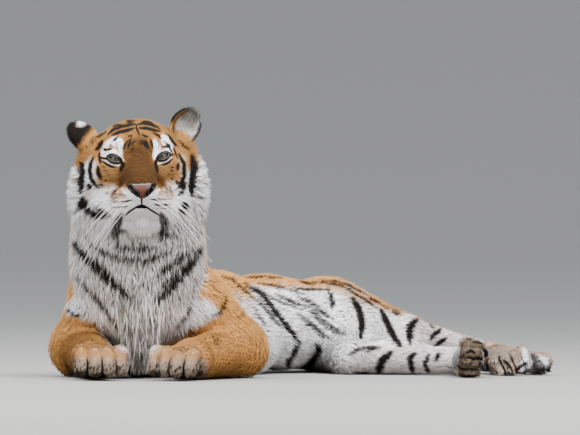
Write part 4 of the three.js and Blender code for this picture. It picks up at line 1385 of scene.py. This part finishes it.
def tubes(paths, radii, sides=6, closed=False):
    """Round tubes along several paths at once, each a row of points, with the radius at each point."""
    count, steps = paths.shape[:2]
    if closed:
        ahead = unit(np.roll(paths, -1, 1) - np.roll(paths, 1, 1))
    else:
        ahead = unit(np.gradient(paths, axis=1))
    across = unit(np.cross(ahead, (0.21, 0.95, 0.23)))
    upward = np.cross(ahead, across)
    turn = np.linspace(0, 2 * np.pi, sides, endpoint=False)
    ring = across[:, :, None] * np.cos(turn)[:, None] + upward[:, :, None] * np.sin(turn)[:, None]
    points = (paths[:, :, None] + ring * radii[:, :, None, None]).reshape(-1, 3)
    grid = np.arange(count * steps * sides).reshape(count, steps, sides)
    a, b = (grid, np.roll(grid, -1, 1)) if closed else (grid[:, :-1], grid[:, 1:])
    c, d = np.roll(b, -1, 2), np.roll(a, -1, 2)
    faces = np.concatenate([np.stack([a, d, c], 3).reshape(-1, 3), np.stack([a, c, b], 3).reshape(-1, 3)])
    if not closed:
        fans = [np.stack([np.broadcast_to(end[:, :1], end[:, 1:-1].shape), end[:, 1:-1], end[:, 2:]], 2)
                for end in (grid[:, 0], grid[:, -1, ::-1])]
        faces = np.concatenate([faces, *[fan.reshape(-1, 3) for fan in fans]])
    return points, outward(points, faces)


def eyelid_rim(name, side, centre):
    """The bare black edge of the lids: a tube along the almond, lying on the eyeball."""
    out, up, forward = eye_axes(side)
    arcs = []
    for height, sign in ((EYE_UPPER, 1), (EYE_LOWER, -1)):
        radius = (EYE_HALF ** 2 + height ** 2) / (2 * height)
        half = math.asin(EYE_HALF / radius)
        t = np.linspace(-half, half, 40, endpoint=False)[1:] * sign
        arcs.append(np.stack([radius * np.sin(t), sign * (radius * np.cos(t) - (radius - height))], 1))
    u, v = np.concatenate(arcs).T * MM
    deep = np.sqrt(np.maximum((EYE_RADIUS + 0.9 * MM) ** 2 - u * u - v * v, 1e-8))
    path = centre + u[:, None] * out + v[:, None] * up + deep[:, None] * forward
    thick = (1.7 + 0.5 * np.abs(u) / (EYE_HALF * MM)) * MM
    points, faces = tubes(path[None], thick[None], 8, closed=True)
    piece_of(name.replace("eye", "eyelid_rim"), points, faces, LID_LEATHER)


def nose_leather(rings=46, columns=72):
    """The bare leather of the nose: a lens inside its outline, its front pushed on to the skin and 1 mm over
    it, its back 4 mm behind. Painted with how pink and how black it is, and with a painted highlight along its
    upper edge."""
    corners = np.array(NOSE_OUTLINE, float) - NOSE_MIDDLE
    angle = np.arctan2(corners[:, 1], corners[:, 0])
    order = np.argsort(angle)
    polar = np.pi * np.arange(1, rings + 1) / (rings + 1)
    around = np.linspace(-np.pi, np.pi, columns, endpoint=False)
    reach = np.interp(around, angle[order], np.hypot(*corners[order].T), period=2 * np.pi)
    r = np.append(np.repeat(np.sin(polar) ** 0.8, columns), [0, 0])
    front = np.append(np.repeat(polar <= np.pi / 2, columns), [True, False])
    a, reach = np.append(np.tile(around, rings), [0, 0]), np.append(np.tile(reach, rings), [1, 1])
    x, z = NOSE_MIDDLE[0] + r * reach * np.cos(a), NOSE_MIDDLE[1] + r * reach * np.sin(a)
    start = EYES + np.stack([x, np.full(len(x), -135.0), z], 1) @ HEAD.T * MM
    way = HEAD @ np.array((0.0, 1.0, 0.0))
    p = start
    for _ in range(60):
        p = p + np.clip(0.7 * skin_distance(p), -0.005, 0.05)[:, None] * way
    crown = 1.1 * smooth(1.0, 0.85, r) - 0.6 * smooth(0.8, 1.0, r)
    proud = np.where(front, crown, -4 + 3.4 * smooth(0.6, 1.0, r))
    points = p - proud[:, None] * MM * way
    v = (-55 - z) / 32
    width = 21 * (1 - smooth(0.0, 0.75, v)) + 5.5 * smooth(0.2, 1.0, v)
    pink = smooth(2.5, -1.0, np.abs(x) - width) * smooth(-0.06, 0.04, v)
    # where the painted highlight lies along the nose's upper edge
    rim = smooth(0.1, 0.0, v) * smooth(26, 20, np.abs(x))
    piece_of("nose_leather", points, outward(points, ball_faces(rings, columns)), NOSE_LEATHER,
             {"leather": np.stack([pink, 1 - pink, rim], 1)})


def whiskers():
    """Stiff white whiskers: tapered tubes from rows on the pads, that bend out, back and down."""
    rows, columns = np.meshgrid(np.arange(4), np.arange(3), indexing="ij")
    rows, columns = rows.ravel(), columns.ravel()
    paths, radii = [], []
    t = np.linspace(0, 1, 14)
    for side in (-1, 1):
        count = len(rows)
        x = side * (31 + 8.5 * columns + rng.uniform(-2, 2, count))
        z = -86 - 7.5 * rows + rng.uniform(-2, 2, count)
        p = EYES + np.stack([x, np.full(count, -135.0), z], 1) @ HEAD.T * MM
        for _ in range(60):
            p = p + np.clip(0.8 * half_depth(p), -0.005, 0.05)[:, None] * (HEAD @ (0.0, 1.0, 0.0))
        length = (105 + 10 * rng.uniform(-1, 1, count) - 9 * columns + 6 * rows) * MM
        start = unit(np.stack([side * np.full(count, 0.9), np.full(count, -0.55), -0.1 - 0.16 * rows], 1))
        bend = np.stack([side * (0.12 + 0.1 * rng.random(count)), 0.42 + 0.2 * rng.random(count),
                         -0.62 - 0.25 * rng.random(count)], 1)
        path = start[:, None] * t[:, None] + bend[:, None] * (t ** 2)[:, None]
        paths.append(p[:, None] + (path @ HEAD.T) * length[:, None, None])
        radii.append(np.repeat((0.5 * (1 - 0.7 * t))[None], count, 0) * MM)
    points, faces = tubes(np.concatenate(paths), np.concatenate(radii), 5)
    piece_of("whiskers", points, faces, WHISKER)


# ---- Materials ----------------------------------------------------------------------------------


def linear(colour):
    """An sRGB hex colour as linear red, green, blue and alpha."""
    parts = [int(colour[i:i + 2], 16) / 255 for i in (1, 3, 5)]
    return (*[c / 12.92 if c <= 0.04045 else ((c + 0.055) / 1.055) ** 2.4 for c in parts], 1.0)


def add(tree, kind, inputs=(), **settings):
    """Adds a node. `settings` are its properties; `inputs` gives its sockets a value or an output to read."""
    made = tree.nodes.new(kind)
    for key, value in settings.items():
        setattr(made, key, value)
    for key, value in dict(inputs).items():
        if isinstance(value, bpy.types.NodeSocket):
            tree.links.new(value, made.inputs[key])
        else:
            made.inputs[key].default_value = value
    return made


def material(name, **constants):
    """A new material with one Principled shader; `constants` are set on the shader's own sockets."""
    made = bpy.data.materials.new(name)
    made.use_nodes = True
    shader = made.node_tree.nodes["Principled BSDF"]
    for key, value in constants.items():
        shader.inputs[key.replace("_", " ")].default_value = value
    return made, made.node_tree, shader


BLACK_HAIR = linear("#1B1613")
WHITE_HAIR = linear("#FBFAFC")
# cream of the legs' hair, and also painted grey shade on white hair wherever its brown is raised
CREAM_AND_SHADE_HAIR = linear("#9C8E7C")
TAN_HAIR = linear("#D99B58")
BROWN_HAIR = linear("#3C2712")


def coat_colour(tree):
    """The winter coat's colour from its markings: tan to brown, or white to cream, the cream also painted grey
    shade on white hair, then black.
    """
    marks = add(tree, "ShaderNodeAttribute", attribute_name="markings")
    black, white, deep = add(tree, "ShaderNodeSeparateColor", {"Color": marks.outputs["Color"]}).outputs
    warm = add(tree, "ShaderNodeMix", {0: deep, 6: TAN_HAIR, 7: BROWN_HAIR}, data_type="RGBA")
    pale = add(tree, "ShaderNodeMix", {0: deep, 6: WHITE_HAIR, 7: CREAM_AND_SHADE_HAIR}, data_type="RGBA")
    ground = add(tree, "ShaderNodeMix", {0: white, 6: warm.outputs[2], 7: pale.outputs[2]}, data_type="RGBA")
    striped = add(tree, "ShaderNodeMix", {0: black, 6: ground.outputs[2], 7: BLACK_HAIR}, data_type="RGBA")
    return striped.outputs[2]


def winter_coat():
    """Tiger hair: keratin fibres in locks, dull, with painted shade that darkens each lock towards its root,
    each lock of its own shade.
    """
    made, tree, shader = material("winter_coat", Roughness=0.8, Specular_IOR_Level=0.06)
    lock = add(tree, "ShaderNodeAttribute", attribute_name="lock")
    along, chance, _ = add(tree, "ShaderNodeSeparateColor", {"Color": lock.outputs["Color"]}).outputs
    # painted shade: each lock darkens towards its root, down to 0.72 of its colour
    root = add(tree, "ShaderNodeMapRange", {0: along, 1: 0.0, 2: 0.5, 3: 0.72, 4: 1.0})
    spread = add(tree, "ShaderNodeMapRange", {0: chance, 3: 0.72, 4: 1.12})
    tone = add(tree, "ShaderNodeMath", {0: root.outputs[0], 1: spread.outputs[0]}, operation="MULTIPLY")
    colour = add(tree, "ShaderNodeMix", {0: 1.0, 6: coat_colour(tree), 7: tone.outputs[0]},
                 data_type="RGBA", blend_type="MULTIPLY")
    tree.links.new(colour.outputs[2], shader.inputs["Base Color"])
    return made


def under_coat():
    """The skin seen between the locks: short dense underfur, in the coat's colours but darker.
    Its grain is 1.5 mm, as coarse as it has to be to show."""
    made, tree, shader = material("underfur_on_skin", Roughness=0.9, Specular_IOR_Level=0.05)
    where = add(tree, "ShaderNodeTexCoord")
    grain = add(tree, "ShaderNodeTexNoise",
                {"Vector": where.outputs["Object"], "Scale": 1 / 0.0015, "Detail": 2.0})
    dim = add(tree, "ShaderNodeMapRange", {0: grain.outputs[0], 1: 0.3, 2: 0.7, 3: 0.6, 4: 0.9})
    colour = add(tree, "ShaderNodeMix", {0: 1.0, 6: coat_colour(tree), 7: dim.outputs[0]},
                 data_type="RGBA", blend_type="MULTIPLY")
    tree.links.new(colour.outputs[2], shader.inputs["Base Color"])
    bump = add(tree, "ShaderNodeBump", {"Height": grain.outputs[0], "Strength": 0.5, "Distance": 0.001})
    tree.links.new(bump.outputs[0], shader.inputs["Normal"])
    return made


def eyeball_finish():
    """Wet cornea over a pale khaki iris with a round pupil; round it the eye is dark brown.
    The angle off the gaze gives the rings, and noise round it the iris's threads, some 0.8 mm apart."""
    made, tree, shader = material("wet_cornea_over_iris", Roughness=0.06, Specular_IOR_Level=0.6)
    iris = add(tree, "ShaderNodeAttribute", attribute_name="iris")
    angle, cos_part, sin_part = add(tree, "ShaderNodeSeparateColor", {"Color": iris.outputs["Color"]}).outputs
    spoke = add(tree, "ShaderNodeCombineXYZ", {0: cos_part, 1: sin_part, 2: 0.0})
    threads = add(tree, "ShaderNodeTexNoise", {"Vector": spoke.outputs[0], "Scale": 22.0, "Detail": 3.0})
    rings = add(tree, "ShaderNodeValToRGB", {0: angle})
    stops = [(0.0, "#050505"), (0.088, "#060606"), (0.1, "#38341F"), (0.2, "#545038"), (0.34, "#494636"),
             (0.37, "#2C2A23"), (0.4, "#120E0C"), (1.0, "#1A1210")]
    elements = rings.color_ramp.elements
    elements[0].position, elements[0].color = stops[0][0], linear(stops[0][1])
    elements[1].position, elements[1].color = stops[-1][0], linear(stops[-1][1])
    for place, colour in stops[1:-1]:
        elements.new(place).color = linear(colour)
    tone = add(tree, "ShaderNodeMapRange", {0: threads.outputs[0], 1: 0.3, 2: 0.7, 3: 0.65, 4: 1.1})
    colour = add(tree, "ShaderNodeMix", {0: 1.0, 6: rings.outputs[0], 7: tone.outputs[0]},
                 data_type="RGBA", blend_type="MULTIPLY")
    tree.links.new(colour.outputs[2], shader.inputs["Base Color"])
    return made


def lid_leather():
    """Bare black skin at the edge of the lids, moist, with a grain of 0.7 mm."""
    made, tree, shader = material("lid_leather", Roughness=0.35, Specular_IOR_Level=0.5)
    shader.inputs["Base Color"].default_value = linear("#14100F")
    where = add(tree, "ShaderNodeTexCoord")
    grain = add(tree, "ShaderNodeTexNoise", {"Vector": where.outputs["Object"], "Scale": 1 / 0.0007})
    bump = add(tree, "ShaderNodeBump", {"Height": grain.outputs[0], "Strength": 0.4, "Distance": 0.0004})
    tree.links.new(bump.outputs[0], shader.inputs["Normal"])
    return made


def nose_leather_finish():
    """Bare pink leather of the nose, cobbled with a grain of 1.6 mm, black in and round the nostrils,
    with a few dark freckles 3 mm wide and a painted highlight, pale bluish grey, along its upper edge."""
    made, tree, shader = material("nose_leather", Roughness=0.5, Specular_IOR_Level=0.25)
    leather = add(tree, "ShaderNodeAttribute", attribute_name="leather")
    pink, _, rim = add(tree, "ShaderNodeSeparateColor", {"Color": leather.outputs["Color"]}).outputs
    where = add(tree, "ShaderNodeTexCoord")
    cobbles = add(tree, "ShaderNodeTexVoronoi", {"Vector": where.outputs["Object"], "Scale": 1 / 0.0016})
    spots = add(tree, "ShaderNodeTexNoise",
                {"Vector": where.outputs["Object"], "Scale": 1 / 0.006, "Detail": 2.0})
    freckle = add(tree, "ShaderNodeMapRange", {0: spots.outputs[0], 1: 0.62, 2: 0.68, 3: 0.0, 4: 0.8})
    flesh = add(tree, "ShaderNodeMix", {0: freckle.outputs[0], 6: linear("#4C2416"), 7: linear("#20120E")},
                data_type="RGBA")
    # a painted highlight: pale bluish grey along the upper edge
    with_painted_highlight = add(tree, "ShaderNodeMix", {0: rim, 6: flesh.outputs[2], 7: linear("#6F7079")}, data_type="RGBA")
    colour = add(tree, "ShaderNodeMix", {0: pink, 6: linear("#100D0D"), 7: with_painted_highlight.outputs[2]},
                 data_type="RGBA")
    tree.links.new(colour.outputs[2], shader.inputs["Base Color"])
    bump = add(tree, "ShaderNodeBump",
               {"Height": cobbles.outputs["Distance"], "Strength": 0.35, "Distance": 0.0006})
    tree.links.new(bump.outputs[0], shader.inputs["Normal"])
    return made


def whisker_keratin():
    """Stiff white keratin, smoother than the coat."""
    made, tree, shader = material("whisker_keratin", Roughness=0.45, Specular_IOR_Level=0.4)
    where = add(tree, "ShaderNodeTexCoord")
    tint = add(tree, "ShaderNodeTexNoise", {"Vector": where.outputs["Object"], "Scale": 1 / 0.03})
    colour = add(tree, "ShaderNodeMix", {0: tint.outputs[0], 6: linear("#FFFFFF"), 7: linear("#D9D4CC")},
                 data_type="RGBA")
    tree.links.new(colour.outputs[2], shader.inputs["Base Color"])
    return made


WINTER_COAT = winter_coat()
UNDER_COAT = under_coat()
EYEBALL = eyeball_finish()
LID_LEATHER = lid_leather()
NOSE_LEATHER = nose_leather_finish()
WHISKER = whisker_keratin()

# ---- The animal ---------------------------------------------------------------------------------

skin_points, skin_triangles = make_skin()
ear_parts = [(entry, ear_surface(*entry[2:])) for entry in EARS]
skin_coat = coat_in_batches(skin_points)
skin_normal = normals_of(skin_points, skin_triangles)
half_way_up = skin_points + 0.5 * skin_coat.depth[:, None] * skin_normal
skin_colour = markings_in_batches(half_way_up, skin_normal, skin_coat)
skin_colour[on_nose(head_place(skin_points))] = (1, 0, 0)
all_points, all_triangles, all_colours = [skin_points], [skin_triangles], [skin_colour]
for (_, side, *_), (points, triangles, place, inner) in ear_parts:
    all_triangles.append(triangles + sum(map(len, all_points)))
    all_points.append(points)
    all_colours.append(ear_markings(side, place, inner))
skin = piece_of("skin", np.concatenate(all_points), np.concatenate(all_triangles), UNDER_COAT,
                {"markings": np.concatenate(all_colours)})
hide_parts(*[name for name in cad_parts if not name.startswith("eye")])
grow_coat(skin_points, skin_triangles)
for (name, side, *_), (points, triangles, place, inner) in ear_parts:
    grow_ear_hair(name, side, points, triangles, place, inner)
hang_breast_locks()
for name, side, centre in EYE_SET:
    eyeball(name, centre)
    eyelid_rim(name, side, centre)
nose_leather()
whiskers()


# ---- Camera, lights and floor -------------------------------------------------------------------


def camera():
    """At the viewpoint, level but rolled by half a degree, with a long lens: sensor * distance / width seen."""
    data = bpy.data.cameras.new("camera")
    data.sensor_width = 36
    data.lens = data.sensor_width * VIEW_DISTANCE / VIEW_WIDTH
    data.clip_end = 100
    view = bpy.data.objects.new("camera", data)
    view.location = VIEWPOINT
    view.rotation_euler = (math.radians(90), math.radians(-0.5), 0)
    bpy.context.scene.collection.objects.link(view)
    bpy.context.scene.camera = view


def soft_light(name, place, aim, size, power):
    """A square soft box at a place, turned to what it lights."""
    data = bpy.data.lights.new(name, "AREA")
    data.size = size
    data.energy = power
    box = bpy.data.objects.new(name, data)
    way = unit(np.array(aim, float) - place)
    box.location = place
    box.rotation_euler = (math.acos(-way[2]), 0, math.atan2(way[0], -way[1]) + math.pi)
    bpy.context.scene.collection.objects.link(box)


def studio():
    """A round pale floor, level for 34 m about the animal, that curves up beyond; even light all round and
    soft boxes above."""
    rings, columns = 40, 96
    r = np.concatenate([[0.001], np.linspace(2, 34, 9), np.linspace(35, 60, rings - 10)])
    turn = np.linspace(0, 2 * np.pi, columns, endpoint=False)
    height = 10 * np.clip((r - 34) / 26, 0, 1) ** 2
    rise = np.repeat(height[:, None], columns, 1)
    grid = np.stack([r[:, None] * np.cos(turn), r[:, None] * np.sin(turn), rise], 2).reshape(-1, 3)
    number = np.arange(rings * columns).reshape(rings, columns)
    a, b = number[:-1], number[1:]
    faces = np.stack([a, b, np.roll(b, -1, 1), np.roll(a, -1, 1)], 2).reshape(-1, 4)
    floor = mesh_object("floor", grid, faces)
    made, _, shader = material("painted_studio_floor", Roughness=0.8)
    shader.inputs["Base Color"].default_value = linear("#858480")
    floor.data.materials.append(made)
    soft_light("key", (2.0, -3.2, 5.8), (0, 0, 0.2), 4.5, 1350)
    soft_light("fill", (-3.4, -2.6, 5.0), (0, 0, 0.2), 3.5, 600)
    world = bpy.data.worlds.new("overcast")
    world.use_nodes = True
    sky = world.node_tree.nodes["Background"]
    sky.inputs[0].default_value = linear("#E4EAF2")
    sky.inputs[1].default_value = 1.5
    bpy.context.scene.world = world


camera()
studio()
